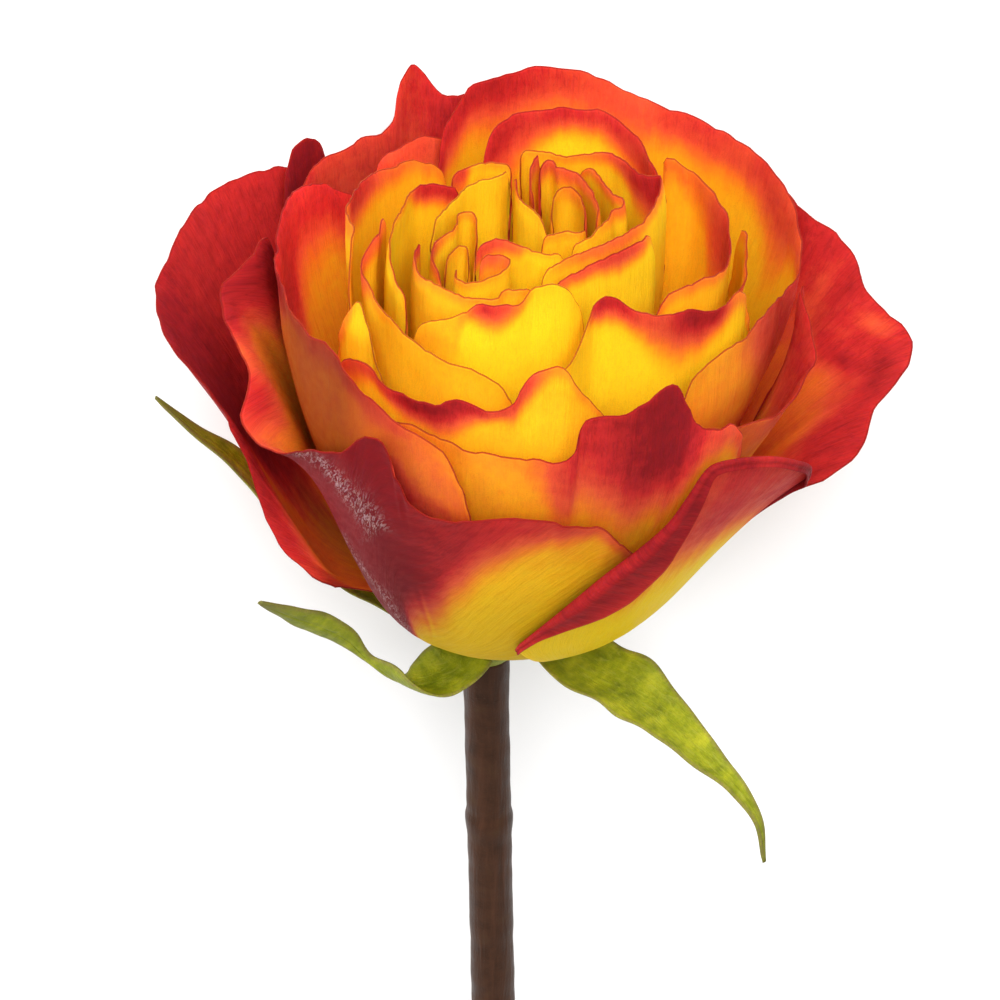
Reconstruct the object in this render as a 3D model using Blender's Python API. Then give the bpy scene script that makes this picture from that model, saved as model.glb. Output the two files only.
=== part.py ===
"""A cut rose in full bloom, lying on a flat surface.

The bloom is drawn in its own frame, in millimetres: X to the right, Y along the bloom's axis from the
stem to the heart, Z up from the surface. An empty then lays the whole flower down, in metres.

Every petal is a piece of one family of nested cups. A cup is named by its level, the radius in
millimetres at its widest, and two cups of different levels never touch. A petal's rim is a row of
points, each an azimuth and a height on the bloom's axis. Azimuth runs anticlockwise as seen from above
the heart: 0 is right, 90 the underside that lies on the surface, 180 left and 270 the upper side.
"""

import math

import bmesh
import bpy
from mathutils import Vector

MM = 0.001

# How the flower lies.
TILT = math.radians(12.3)
BLOOM_BASE = (-0.00258, 0.03276, 0.03305)

# The family of cups: a foot ring on the receptacle, a round bowl, then a wall that closes a little.
FOOT_RADIUS = 0.3
FOOT_SPREAD = 0.2
CONE_HEIGHT = 6.5
CONE_LEVEL = 46.0
SWELL = ((0, 0), (4, 0.28), (10, 0.49), (20, 0.665), (32, 0.825), (46, 0.975), (52, 1.0), (61, 1.0),
         (70, 0.93))

# Petal sheets. A claw is the narrow foot of a petal.
THICK_AT_FOOT = 0.22
THICK_AT_RIM = 0.45
ROW_HEIGHTS = (4, 10, 20, 32, 46)
LEAST_ROW = 0.7
WIDEST_COLUMN = 16.0
CLAW_WIDTH = 0.5
CLAW_HEIGHT = 15.0
ROLL_RADIUS = 0.9
FLARE_POWER = 2

# Sepals: thickness, and how far a blade's edges drop and its middle rises, for its half width.
SEPAL_THICK = 0.6
EDGE_DROP = 0.2
MIDDLE_RISE = 0.1

# Receptacle: a dome that carries the petals' feet, and the calyx tube below it. The tube's rows are a
# radius, a height and the place of the ring's centre across the bloom.
DOME_LEVELS = (0, 10, 20, 30, 38, 46)
SEAT_CLEARANCE = 0.45
SEAT_INSET = 0.75
CALYX = ((8.6, -1.4, -0.3), (7.0, -3.6, -0.9), (5.6, -6.0, -1.6), (4.4, -8.0, -2.2), (3.6, -9.2, -2.55))
CALYX_SIDES = 24

# Stem: rows are a radius and a height, with one low node. It leans a little across the bloom's axis.
STEM = ((3.4, -9.5), (3.2, -20), (3.2, -38), (3.5, -40), (3.2, -44), (3.2, -60), (3.25, -85), (3.3, -110),
        (3.3, -140))
STEM_SIDES = 20
STEM_TOP_ACROSS = -2.55
STEM_LEAN = 0.036

ROUGHNESS = 0.55

COLOURS = {
    "petal_guard": (0.62, 0.05, 0.03, 1.0),
    "petal_outer": (0.80, 0.16, 0.03, 1.0),
    "petal_inner": (0.90, 0.45, 0.02, 1.0),
    "petal_heart": (0.92, 0.55, 0.03, 1.0),
    "sepal": (0.22, 0.36, 0.04, 1.0),
    "stem": (0.085, 0.045, 0.035, 1.0),
}

# Guard petals: the outermost ring, each with its levels, its flare and its rim.
GUARDS = {
    "guard_left": dict(
        level=((128, 44.4), (150, 43.6), (180, 41.6), (213, 40.6)),
        flare=((128, 0), (138, 1.5), (150, 4), (165, 4.2), (180, 5.8), (187, 5), (193, 3.8), (197, 2),
               (201, 0.8), (203, 1.2), (204, 2), (206, 3.5), (208, 2.5), (213, 0)),
        flare_power=5,
        rim=((128, 24), (132, 48), (138, 50.5), (150, 51), (164, 51.5), (174, 50.5), (181, 49.5), (187, 49),
             (193, 48), (197, 46), (201, 41), (203, 35), (205, 26), (206, 20), (208, 16), (212, 12)),
    ),
    "guard_front_left": dict(
        level=((166, 31.8), (183, 32), (198, 32.4), (212, 33.9), (228, 37.4), (243, 39.4), (262, 40.2),
               (300, 39.6)),
        flare=((168, 0.5), (178, 2), (183, 6.5), (190, 6), (198, 5.5), (206, 4.5), (213, 7.5), (220, 6),
               (229, 2.5), (240, 0.8), (302, 0.3)),
        flare_power=9,
        rim=((166, 26), (169, 52), (173, 57.5), (178, 57), (182, 54), (188, 52.5), (198, 52), (206, 50.5),
             (211, 47.5), (215, 45.5), (221, 46), (229, 48.5), (237, 51), (243, 55), (246, 56), (248, 54),
             (250, 49.5), (253, 45.5), (260, 45), (272, 46), (280, 44.5), (288, 42), (294, 37), (299, 32),
             (303, 20)),
    ),
    "guard_front_right": dict(
        level=((273, 41.6), (300, 41.7), (320, 41), (340, 40.6)),
        flare=((273, 0), (303, 0.5), (310, 2), (318, 4), (328, 6), (332, 6), (334, 4), (336, 1.5),
               (337.5, 0)),
        flare_power=3,
        roll=((273, 1), (280, 3), (290, 6), (298, 6.5), (303, 3.5), (307, 1), (339, 0.5)),
        rim=((273, 14), (277, 18), (284, 25), (291, 32), (297, 37), (301, 41), (304, 46), (307, 50.5),
             (312, 50.5), (318, 49), (324, 46), (329, 42.5), (332.5, 38), (334.5, 33), (336.2, 27),
             (337.5, 21)),
    ),
    "guard_right": dict(
        level=((-28, 38.7), (-10, 39), (10, 40.2), (30, 42), (46, 43)),
        flare=((-19.6, 0), (-18.6, 4), (-17.5, 9.5), (-13, 12.5), (-7, 12), (-4, 14), (3, 15), (9, 12),
               (13, 8.5), (18, 8), (22, 6), (26, 2.5), (32, 0.5)),
        flare_power=3.5,
        rim=((-28, 12), (-23, 14), (-19.6, 22), (-18.6, 27), (-17.5, 32.5), (-13, 36), (-7, 39.5),
             (-3, 42.5), (3, 44), (9, 45), (13, 47), (18, 48.5), (22, 50.5), (27, 53), (34, 54),
             (40, 50), (45, 26)),
    ),
    "guard_under_right": dict(
        level=((38, 40.8), (75, 41), (112, 40.5)),
        flare=((46, 0), (54, 5), (62, 9.45), (69, 4.5), (76, 1), (100, 0)),
        flare_power=3,
        rim=((38, 25), (42, 38), (49, 44), (62, 45), (75, 42), (90, 41), (104, 37), (111, 18)),
    ),
    "guard_under_left": dict(
        level=((80, 43.2), (110, 43), (128, 42.4), (148, 42)),
        flare=((92, 0), (105, 0.5), (111, 2.5), (118, 7.7), (124, 4), (128, 1), (148, 0)),
        flare_power=3,
        rim=((80, 18), (85, 36), (98, 40), (110, 43.5), (118, 45), (125, 47), (130, 54), (134, 54.5),
             (138, 50), (141, 42), (143, 33), (145, 22)),
    ),
}

# The broad petals inside the guards.
OUTER_PETALS = {
    "petal_back_left": dict(
        level=((88, 35), (130, 36), (152, 36.5)),
        flare=((92, 0), (105, 1.5), (111, 4), (117, 2), (128, 1), (152, 0.5)),
        rim=((88, 24), (93, 50), (100, 60), (106, 59.5), (109, 62), (112, 64.5), (115, 61), (118, 56),
             (129, 55.5), (138, 54.5), (144, 48), (150, 26)),
    ),
    "petal_back_right": dict(
        level=((-54, 33.4), (-20, 33.8), (-5, 34.8), (5, 35.9), (14, 36.6), (28, 37.2), (45, 36), (90, 31),
               (113, 28)),
        flare=((-54, 0), (-3, 0.3), (5, 1.8), (28, 2.8), (45, 3), (90, 2), (100, 1), (113, 0.3)),
        rim=((-54, 30), (-50, 54), (-44, 58), (-26, 58), (-12, 57), (-3, 55), (5, 54.5), (12, 55.5),
             (21, 57.5), (30, 59), (39, 60), (52, 61), (64, 62), (73, 65), (83, 66.5), (93, 66),
             (102, 65.5), (106, 63), (110, 59), (112, 54), (116, 34)),
    ),
    "petal_left": dict(
        level=((104, 30.5), (150, 30.5), (185, 29.4), (198, 29.8), (210, 31.2), (222, 33.8), (232, 35.8),
               (250, 37.7), (266, 38.3)),
        flare=((104, 0.5), (150, 0.8), (185, 1.5), (198, 2.2), (210, 2.2), (222, 1.4), (235, 1),
               (266, 0.5)),
        rim=((103, 30), (106, 53), (110, 57), (119, 57.5), (126, 55.5), (131, 50.5), (137, 53), (146, 57),
             (156, 59.5), (170, 61), (185, 61), (200, 62), (211, 62.5), (222, 62.5), (232, 63.5),
             (238, 61.5), (243, 59), (249, 57.5), (255, 56), (259, 53), (262, 47), (265, 28)),
    ),
    "petal_right": dict(
        level=((-58, 36), (-30, 36.4), (-10, 36.8), (0, 38.2)),
        flare=((-58, 0.5), (-42, 2), (-24, 4), (-16, 4), (-11, 2.8), (-7, 0.5), (0, 0)),
        flare_power=3.5,
        rim=((-58, 28), (-54, 46), (-49, 52), (-42, 50.5), (-32, 49), (-24, 49), (-17, 50), (-12, 52.5),
             (-9, 56), (-6, 57.5), (-2, 52), (1, 28)),
    ),
    "petal_front": dict(
        level=((230, 34.2), (250, 35.3), (262, 36), (285, 37.2), (322, 38.3)),
        flare=((230, 0.5), (270, 1), (285, 2), (296, 3), (304, 3), (316, 1.5), (325, 0)),
        rim=((230, 30), (236, 52), (243, 55.5), (252, 55.5), (264, 54), (275, 54), (281, 54), (284, 60.5),
             (290, 61), (296, 63), (300, 64), (303, 60), (305, 57), (310, 54), (315, 53), (321, 46),
             (325, 24)),
    ),
}

# The petals of the cup, between the broad ones and the heart.
INNER_PETALS = {
    "petal_front_second": dict(
        level=((222, 31.6), (240, 32.6), (250, 33), (300, 33.4)),
        flare=((222, 0.5), (250, 0.8), (262, 1.5), (276, 1.5), (300, 0.5)),
        rim=((222, 30), (227, 57), (232, 60), (237, 60.5), (241, 59), (247, 58), (254, 58.5), (259, 60),
             (265, 59), (270, 60), (273, 63.5), (276, 65), (281, 65), (284, 62), (288, 58.5), (294, 52),
             (299, 28)),
    ),
    "petal_front_third": dict(
        level=((218, 28.7), (226, 29.3), (246, 30.6)),
        flare=((218, 0), (226, 1), (246, 0)),
        rim=((218, 32), (222, 58), (226, 64), (229, 66.5), (233, 64), (237, 58), (242, 52), (247, 30)),
    ),
    "petal_left_corner": dict(
        level=((192, 17), (205, 19.4), (213, 21.2), (229, 25.2), (247, 27.8), (272, 30.3)),
        flare=((192, 0), (207, 0.5), (212, 2.3), (218, 1.5), (229, 0.8), (272, 0.5)),
        rim=((192, 60), (198, 67.5), (203, 66), (208, 67.5), (212, 65), (219, 64.5), (229, 64), (240, 63),
             (248, 62), (257, 61.5), (266, 60.5), (271, 56), (275, 34)),
    ),
    "petal_left_second": dict(
        level=((110, 24.5), (140, 22.5), (175, 21.5), (198, 21.8), (212, 24.3), (224, 26.4)),
        flare=0.5,
        rim=((108, 30), (114, 56), (122, 59), (136, 61), (152, 62.5), (168, 64), (184, 65.5), (198, 66),
             (208, 64), (217, 58), (224, 34)),
    ),
    "petal_front_right": dict(
        level=((277, 28.6), (284, 28.3), (288, 26.6), (292, 24.6), (296, 23.8), (302, 24.4), (311, 26.4),
               (325, 28.4), (333, 30.2), (340, 31.2), (347, 31.6)),
        flare=((277, 0), (290, 0.3), (347, 0.3)),
        rim=((277, 34), (281, 58), (285, 61.5), (289, 63), (293, 65), (297, 66.5), (301, 67), (305, 65.5),
             (311, 64), (323, 62.5), (332, 61.5), (338, 62), (343, 57), (347, 32)),
    ),
    "petal_front_yellow": dict(
        level=((238, 24.4), (250, 24.6), (262, 24), (272, 23.2), (285, 22.2), (298, 20.6)),
        flare=((238, 0), (262, 0.5), (298, 0)),
        rim=((237, 34), (241, 62), (247, 64), (254, 65.5), (259, 67.5), (265, 67), (271, 67), (276, 69),
             (283, 69), (289, 67), (294, 63), (298, 36)),
    ),
    "petal_right_second": dict(
        level=((-46, 23.8), (-34, 25.5), (-27, 26.4), (-12, 27.8), (5, 27.7), (16, 27.2), (27, 26.6),
               (31, 25.2), (34, 23.4)),
        flare=0.3,
        rim=((-46, 36), (-42, 62), (-36, 64), (-26, 63.5), (-15, 62.5), (-4, 62), (6, 62), (16, 63),
             (26, 63.5), (30, 64.5), (33, 65.5), (35, 36)),
    ),
    "petal_right_third": dict(
        level=((-22, 29.4), (-10, 30), (6, 29.8), (16, 29.4)),
        flare=0.3,
        rim=((-23, 34), (-19, 58), (-13, 60.5), (-5, 61), (3, 61.5), (9, 60), (16, 34)),
    ),
    "petal_back_inner": dict(
        level=((20, 20.9), (30, 20.8), (54, 22.3), (72, 19.8), (92, 17.5), (106, 16)),
        flare=((20, 0), (50, 0.8), (90, 1), (106, 0)),
        rim=((19, 40), (23, 63), (29, 66), (40, 67), (52, 68), (60, 69), (70, 69), (82, 69), (93, 68.5),
             (101, 67), (105, 62), (109, 38)),
    ),
}

# The heart: two swirls of narrow petals side by side. Their rims turn about their own centres, so a rim
# point here is a place across the bloom, a place toward its upper side, and a height.
HEART_PETALS = {
    "heart_ring_right": (
        (0.8, -11.0, 58), (0.8, -12.4, 66.3), (3.8, -11.8, 67), (7.6, -11.0, 67), (11.2, -11.4, 67.5),
        (14.4, -9.2, 67.5), (17.0, -6.3, 67.2), (18.8, -5.6, 67.8), (18.8, -3.0, 67.2), (17.0, 2.8, 66.8),
        (15.4, 5.4, 67), (11.0, 10.0, 67.3), (6.2, 13.0, 67), (4.0, 15.4, 66.4), (3.4, 16.2, 58)),
    "heart_wing_right": (
        (18.4, 4.8, 58), (17.4, 6.0, 66.2), (15.6, 7.9, 66.3), (13.5, 9.9, 66.4), (11.0, 12.1, 66.4),
        (8.7, 14.0, 66.4), (6.6, 15.6, 66), (5.3, 16.9, 65.5), (4.7, 17.6, 58)),
    "heart_wing_middle": (
        (-5.0, 9.6, 58), (-4.6, 8.8, 66), (-3.2, 8.3, 66.6), (-1.9, 8.7, 67), (-0.6, 9.3, 67),
        (0.8, 10.1, 67), (2.9, 11.0, 66.8), (4.4, 11.0, 66.5), (5.8, 10.6, 66.2), (6.8, 10.0, 58)),
    "heart_fold_middle": (
        (-0.2, -6.4, 58), (-0.1, -6.0, 66.5), (0.0, -4.4, 67), (0.2, -2.4, 67), (0.6, -0.6, 66.8),
        (1.6, 0.7, 66.8), (2.9, 2.0, 66.5), (3.8, 3.3, 66), (4.3, 4.2, 58)),
    "heart_curl": (
        (3.0, -10.4, 58), (2.8, -9.8, 67.6), (2.1, -7.8, 67.8), (1.8, -5.8, 67.5), (1.8, -4.0, 66.8),
        (2.3, -2.6, 66), (2.7, -1.9, 58)),
    "heart_inner_right": (
        (3.4, -7.4, 58), (3.3, -8.3, 67.3), (4.0, -9.0, 67.8), (4.9, -8.5, 67.8), (5.4, -7.6, 67.4),
        (6.7, -7.4, 67.3), (8.2, -6.2, 67.2), (9.4, -4.4, 67), (10.3, -2.2, 66.8), (10.8, 0.0, 66.5),
        (10.6, 1.6, 66), (10.2, 2.6, 58)),
    "heart_fold_right": (
        (8.2, -9.3, 58), (8.6, -8.9, 66), (9.8, -7.4, 67.4), (10.9, -5.9, 67.4), (11.9, -3.9, 67.2),
        (12.9, -1.8, 67.2), (14.0, -0.4, 67.6), (13.7, 0.6, 67), (12.7, 0.9, 66.8), (12.2, 2.4, 66.6),
        (11.0, 4.7, 66.4), (9.4, 6.9, 66.3), (7.8, 8.0, 65.8), (7.0, 8.4, 58)),
    "heart_bud_right": (
        (5.1, -0.8, 58), (4.8, -2.3, 65), (5.1, -4.3, 65.5), (6.0, -5.4, 65.8), (7.2, -5.4, 65.8),
        (8.2, -4.2, 65.6), (8.8, -2.4, 65.4), (9.1, -0.7, 65), (9.0, 0.4, 58)),
    "heart_lip_right": (
        (3.5, 6.9, 58), (3.9, 6.5, 66), (5.1, 6.0, 66.2), (6.8, 5.3, 66.2), (8.0, 5.3, 66),
        (8.8, 4.0, 65.5), (9.0, 3.2, 60)),
    "heart_spine": (
        (-0.8, -7.0, 58), (-1.3, -6.8, 66.8), (-2.4, -5.2, 67.3), (-3.7, -4.3, 67.4), (-5.0, -3.8, 67.4),
        (-6.3, -2.5, 67.4), (-7.6, -0.4, 67.3), (-8.8, 1.8, 67.2), (-9.8, 3.8, 67), (-10.5, 5.6, 66.6),
        (-10.9, 6.6, 58)),
    "heart_back_left": (
        (-8.8, -6.4, 58), (-8.4, -7.0, 65.8), (-7.8, -7.7, 66.3), (-6.5, -8.3, 66.6), (-5.1, -8.7, 66.8),
        (-3.8, -9.3, 66.8), (-2.2, -9.4, 66.6), (-1.0, -9.4, 66), (-0.5, -9.2, 58)),
    "petal_left_inner": (
        (-7.4, -4.4, 58), (-8.0, -4.8, 65.4), (-9.3, -4.9, 65.8), (-11.3, -4.6, 66.2), (-12.9, -3.8, 66.4),
        (-13.7, -1.9, 66.6), (-14.4, 0.8, 66.8), (-15.2, 4.1, 67), (-15.9, 7.7, 67), (-16.0, 10.8, 66.8),
        (-15.7, 13.4, 66), (-15.0, 15.8, 65), (-14.0, 18.0, 64.4), (-13.4, 18.9, 58)),
    "heart_cup_left": (
        (-12.2, 7.9, 58), (-12.3, 9.0, 66), (-12.7, 10.4, 66.3), (-12.7, 12.4, 66.2), (-12.3, 14.6, 66),
        (-11.0, 16.7, 66), (-9.4, 18.1, 66), (-7.5, 19.5, 66), (-5.5, 20.3, 66), (-3.6, 20.4, 66),
        (-2.0, 20.2, 66), (-1.3, 19.2, 66.3), (0.6, 18.9, 66.5), (2.0, 18.5, 66), (2.6, 18.1, 58)),
    "heart_fold_left": (
        (-5.2, 5.9, 58), (-5.0, 4.6, 65), (-5.1, 2.8, 66), (-5.8, 1.8, 66.4), (-6.7, 1.8, 66.5),
        (-7.4, 2.6, 66.4), (-7.4, 4.2, 66.2), (-8.0, 5.3, 66), (-9.1, 6.7, 66), (-10.0, 8.0, 66),
        (-10.5, 9.4, 65.8), (-10.6, 10.9, 65.5), (-10.3, 12.4, 65.2), (-9.6, 13.5, 65), (-8.8, 14.1, 58)),
    "heart_pocket": (
        (-7.3, 11.8, 58), (-7.5, 13.0, 65), (-7.4, 15.0, 65.3), (-6.5, 16.1, 65.4), (-5.3, 16.4, 65.6),
        (-4.0, 16.2, 65.8), (-2.7, 15.5, 66), (-1.5, 14.5, 66.2), (-0.8, 13.2, 66.3), (-0.7, 12.1, 66.3),
        (-1.3, 11.3, 66.3), (-2.4, 11.1, 66.2), (-3.9, 11.3, 66), (-4.7, 11.8, 58)),
    "heart_bud_left": (
        (-8.6, 11.4, 58), (-8.9, 10.2, 63.5), (-8.7, 8.8, 64), (-8.1, 7.5, 64.3), (-7.2, 6.7, 64.5),
        (-6.3, 6.8, 64.3), (-6.0, 7.6, 63.8), (-6.0, 8.4, 58)),
}

# Sepals: each has places on its middle line (azimuth, radius, height), its half width at each of them,
# and, where the blade turns over, its twist in degrees there.
SEPALS = {
    "sepal_right": dict(
        places=((314, 8.9, -2.5), (320, 15, -3.8), (324, 22, -5.5), (325, 28, -8), (325, 34, -11),
                (325.5, 39, -14), (325.5, 43, -18), (324.5, 45, -24)),
        half_widths=(3.6, 6.0, 5.6, 4.4, 3.0, 1.8, 0.9, 0.3),
    ),
    "sepal_front_left": dict(
        places=((240, 9.1, -2.4), (236, 13, -4), (226, 18, -4.5), (212, 21.5, -2), (209, 24.5, 2),
                (209, 28, 5.5), (209, 33, 9.5), (210, 38, 14)),
        half_widths=(4.2, 4.6, 3.6, 0.9, 1.7, 2.1, 1.5, 0.3),
        twists=(0, 0, -15, -50, -70, -70, -60, -60),
    ),
    "sepal_left": dict(
        places=((175, 8.9, -2.2), (175, 14, -1), (175, 21, 2), (175, 28, 7.8), (175.5, 33, 15),
                (176, 38, 21.5), (177, 43.5, 27), (177.5, 48, 32)),
        half_widths=(4.4, 5.2, 5.2, 4.6, 3.4, 2.3, 1.3, 0.3),
    ),
    "sepal_under_left": dict(
        places=((108, 8.8, -2.2), (108, 14, -1), (108, 20.5, 1.6), (108, 26.5, 5), (108, 31.5, 10),
                (108, 35, 15.5), (108, 37.5, 21), (108, 39.5, 27)),
        half_widths=(4.4, 5.2, 5.0, 4.4, 3.4, 2.4, 1.3, 0.3),
    ),
    "sepal_under_right": dict(
        places=((40, 8.4, -2.2), (40, 14, -2), (40, 20.5, -1), (40, 26.5, 1), (39, 32, 3.5), (38, 37, 6.5),
                (37, 41.5, 8), (36, 45.5, 7)),
        half_widths=(4.4, 5.4, 5.2, 4.4, 3.4, 2.4, 1.3, 0.3),
    ),
}


def clear_scene():
    for thing in list(bpy.data.objects):
        bpy.data.objects.remove(thing, do_unlink=True)


def make_material(name):
    material = bpy.data.materials.new(name)
    material.use_nodes = True
    shader = material.node_tree.nodes["Principled BSDF"]
    shader.inputs["Base Color"].default_value = COLOURS[name]
    shader.inputs["Roughness"].default_value = ROUGHNESS
    shader.inputs["Metallic"].default_value = 0.0
    return material


def along(table, azimuth):
    """Value at an azimuth from a short table, straight between its rows; a number stands for itself."""
    if isinstance(table, (int, float)):
        return table
    if azimuth <= table[0][0]:
        return table[0][1]
    for (a0, v0), (a1, v1) in zip(table, table[1:]):
        if azimuth <= a1:
            return v0 + (v1 - v0) * (azimuth - a0) / (a1 - a0)
    return table[-1][1]


def smooth(x):
    x = min(max(x, 0.0), 1.0)
    return x * x * (3 - 2 * x)


def foot_radius(level):
    return FOOT_RADIUS + FOOT_SPREAD * level


def foot_height(level):
    return CONE_HEIGHT * (1 - level / CONE_LEVEL)


def cup_radius(level, height):
    foot = foot_radius(level)
    return foot + (level - foot) * along(SWELL, height)


def level_at(radius, height):
    """The level of the cup that passes through a radius at a height."""
    swell = along(SWELL, height)
    return (radius - FOOT_RADIUS * (1 - swell)) / (FOOT_SPREAD * (1 - swell) + swell)


def bloom_point(azimuth, radius, height):
    angle = math.radians(azimuth)
    return Vector((radius * math.cos(angle), height, -radius * math.sin(angle)))


def ring_stations(petal):
    """Rim points of a petal around the bloom's axis: azimuth, level, height, flare and roll."""
    stations = []
    for (a0, h0), (a1, h1) in zip(petal["rim"], petal["rim"][1:] + petal["rim"][-1:]):
        steps = max(1, math.ceil((a1 - a0) / WIDEST_COLUMN))
        for step in range(steps):
            azimuth = a0 + (a1 - a0) * step / steps
            height = h0 + (h1 - h0) * step / steps
            flare = along(petal.get("flare", 0), azimuth)
            roll = along(petal.get("roll", 0), azimuth)
            stations.append((azimuth, along(petal["level"], azimuth), height, flare, roll))
    return stations


def heart_stations(rim):
    """Rim points of a heart petal, as azimuths and levels about the bloom's axis."""
    stations = []
    for across, toward, height in rim:
        azimuth = math.degrees(math.atan2(-toward, across))
        stations.append((azimuth, level_at(math.hypot(across, toward), height), height, 0.0, 0.0))
    return stations


def rolled_rim(last, rim_direction, outward, roll):
    """The rim's turn outward and back: a half round, then a flap that lies over the outer face."""
    ahead = outward.cross(rim_direction).normalized()
    side = last + (ahead + outward) * ROLL_RADIUS
    over = last + outward * 2 * ROLL_RADIUS
    return [side, over, over - ahead * roll]


def row_heights(foot, height):
    """Heights of a column's points: the same rows for every petal, so that neighbours never cross."""
    rows = [foot]
    for number, row in enumerate(ROW_HEIGHTS):
        under_rim = height - LEAST_ROW * (len(ROW_HEIGHTS) - number)
        rows.append(max(min(row, under_rim), foot + LEAST_ROW * (number + 1)))
    return rows + [height]


def petal_sheet(stations, levels=None, flare_power=FLARE_POWER):
    """Middle surface of a petal: one column of points for each rim point, from the foot to the rim.

    A petal around the bloom's axis narrows to a claw at its foot; `levels` keeps the claw on its cup."""
    middle = 0.5 * (stations[0][0] + stations[-1][0])
    columns = []
    for azimuth, level, height, flare, _ in stations:
        column = []
        if levels:
            foot = foot_height(along(levels, middle + (azimuth - middle) * CLAW_WIDTH))
        else:
            foot = foot_height(level)
        for row in row_heights(foot, height):
            here = azimuth
            if levels:
                width = CLAW_WIDTH + (1 - CLAW_WIDTH) * smooth((row - foot) / CLAW_HEIGHT)
                here = middle + (azimuth - middle) * width
                level = along(levels, here)
            share = (row - foot) / (height - foot)
            column.append(bloom_point(here, cup_radius(level, row) + flare * share ** flare_power, row))
        columns.append(column)
    if any(station[4] for station in stations):
        roll_rim(columns, [station[4] for station in stations])
    return columns


def roll_rim(columns, rolls):
    last = len(columns) - 1
    normals = sheet_normals(columns)
    turns = []
    for number, (column, roll) in enumerate(zip(columns, rolls)):
        rim_direction = (columns[min(number + 1, last)][-1] - columns[max(number - 1, 0)][-1]).normalized()
        turns.append(rolled_rim(column[-1], rim_direction, normals[number][-1], roll))
    for column, turn in zip(columns, turns):
        column.extend(turn)


def sheet_normals(columns):
    """Outward normal at every point of a sheet: the mean of its faces' normals, by area."""
    normals = [[Vector() for _ in column] for column in columns]
    for i, (column, after) in enumerate(zip(columns, columns[1:])):
        for j in range(len(column) - 1):
            face = (after[j + 1] - column[j]).cross(column[j + 1] - after[j])
            for corner in (normals[i][j], normals[i + 1][j], normals[i][j + 1], normals[i + 1][j + 1]):
                corner += face
    return [[normal.normalized() for normal in row] for row in normals]


def thick_solid(name, columns, thick_at_foot, thick_at_rim, slot):
    """A closed solid from a sheet, whose thickness grows over the lower half of its rows."""
    wide, tall = len(columns), len(columns[0])
    mesh = bmesh.new()
    outer, inner = [], []
    for column, normals in zip(columns, sheet_normals(columns)):
        outer_column, inner_column = [], []
        for j, (point, normal) in enumerate(zip(column, normals)):
            thickness = thick_at_foot + (thick_at_rim - thick_at_foot) * smooth(2 * j / (tall - 1))
            outer_column.append(mesh.verts.new((point + normal * 0.5 * thickness) * MM))
            inner_column.append(mesh.verts.new((point - normal * 0.5 * thickness) * MM))
        outer.append(outer_column)
        inner.append(inner_column)
    for i in range(wide - 1):
        for j in range(tall - 1):
            mesh.faces.new((outer[i][j], outer[i + 1][j], outer[i + 1][j + 1], outer[i][j + 1]))
            mesh.faces.new((inner[i][j], inner[i][j + 1], inner[i + 1][j + 1], inner[i + 1][j]))
    for i in range(wide - 1):
        mesh.faces.new((outer[i][0], inner[i][0], inner[i + 1][0], outer[i + 1][0]))
        mesh.faces.new((outer[i][-1], outer[i + 1][-1], inner[i + 1][-1], inner[i][-1]))
    for j in range(tall - 1):
        mesh.faces.new((outer[0][j], outer[0][j + 1], inner[0][j + 1], inner[0][j]))
        mesh.faces.new((outer[-1][j], inner[-1][j], inner[-1][j + 1], outer[-1][j + 1]))
    bmesh.ops.triangulate(mesh, faces=mesh.faces)
    bmesh.ops.recalc_face_normals(mesh, faces=mesh.faces)
    return add_object(name, mesh, slot)


def add_object(name, mesh, slot):
    data = bpy.data.meshes.new(name)
    mesh.to_mesh(data)
    mesh.free()
    data.materials.append(MATERIALS[slot])
    thing = bpy.data.objects.new(name, data)
    bpy.context.scene.collection.objects.link(thing)
    thing.parent = FLOWER
    return thing


def build_petals():
    for petals, slot in ((GUARDS, "petal_guard"), (OUTER_PETALS, "petal_outer"),
    (INNER_PETALS, "petal_inner")):
        for name, petal in petals.items():
            flare_power = petal.get("flare_power", FLARE_POWER)
            columns = petal_sheet(ring_stations(petal), petal["level"], flare_power)
            thick_solid(name, columns, THICK_AT_FOOT, THICK_AT_RIM, slot)
    for name, rim in HEART_PETALS.items():
        thick_solid(name, petal_sheet(heart_stations(rim)), THICK_AT_FOOT, THICK_AT_RIM, "petal_heart")


def sepal_sheet(places, half_widths, twists):
    """Sheet of a sepal: three columns, with the middle line raised so that the blade is a shallow gutter."""
    line = [bloom_point(*place) for place in places]
    last = len(line) - 1
    left, centre, right = [], [], []
    for number, (point, half, twist) in enumerate(zip(line, half_widths, twists)):
        onward = (line[min(number + 1, last)] - line[max(number - 1, 0)]).normalized()
        azimuth = math.radians(places[number][0])
        around = Vector((-math.sin(azimuth), 0, -math.cos(azimuth)))
        side = (around - onward * around.dot(onward)).normalized()
        under = side.cross(onward)
        turn = math.radians(twist)
        blade = side * math.cos(turn) + under * math.sin(turn)
        gutter = blade.cross(onward)
        left.append(point - blade * half - gutter * EDGE_DROP * half)
        centre.append(point + gutter * MIDDLE_RISE * half)
        right.append(point + blade * half - gutter * EDGE_DROP * half)
    return [left, centre, right]


def build_sepals():
    for name, sepal in SEPALS.items():
        twists = sepal.get("twists", (0,) * len(sepal["places"]))
        columns = sepal_sheet(sepal["places"], sepal["half_widths"], twists)
        thick_solid(name, columns, SEPAL_THICK, SEPAL_THICK, "sepal")


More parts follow.
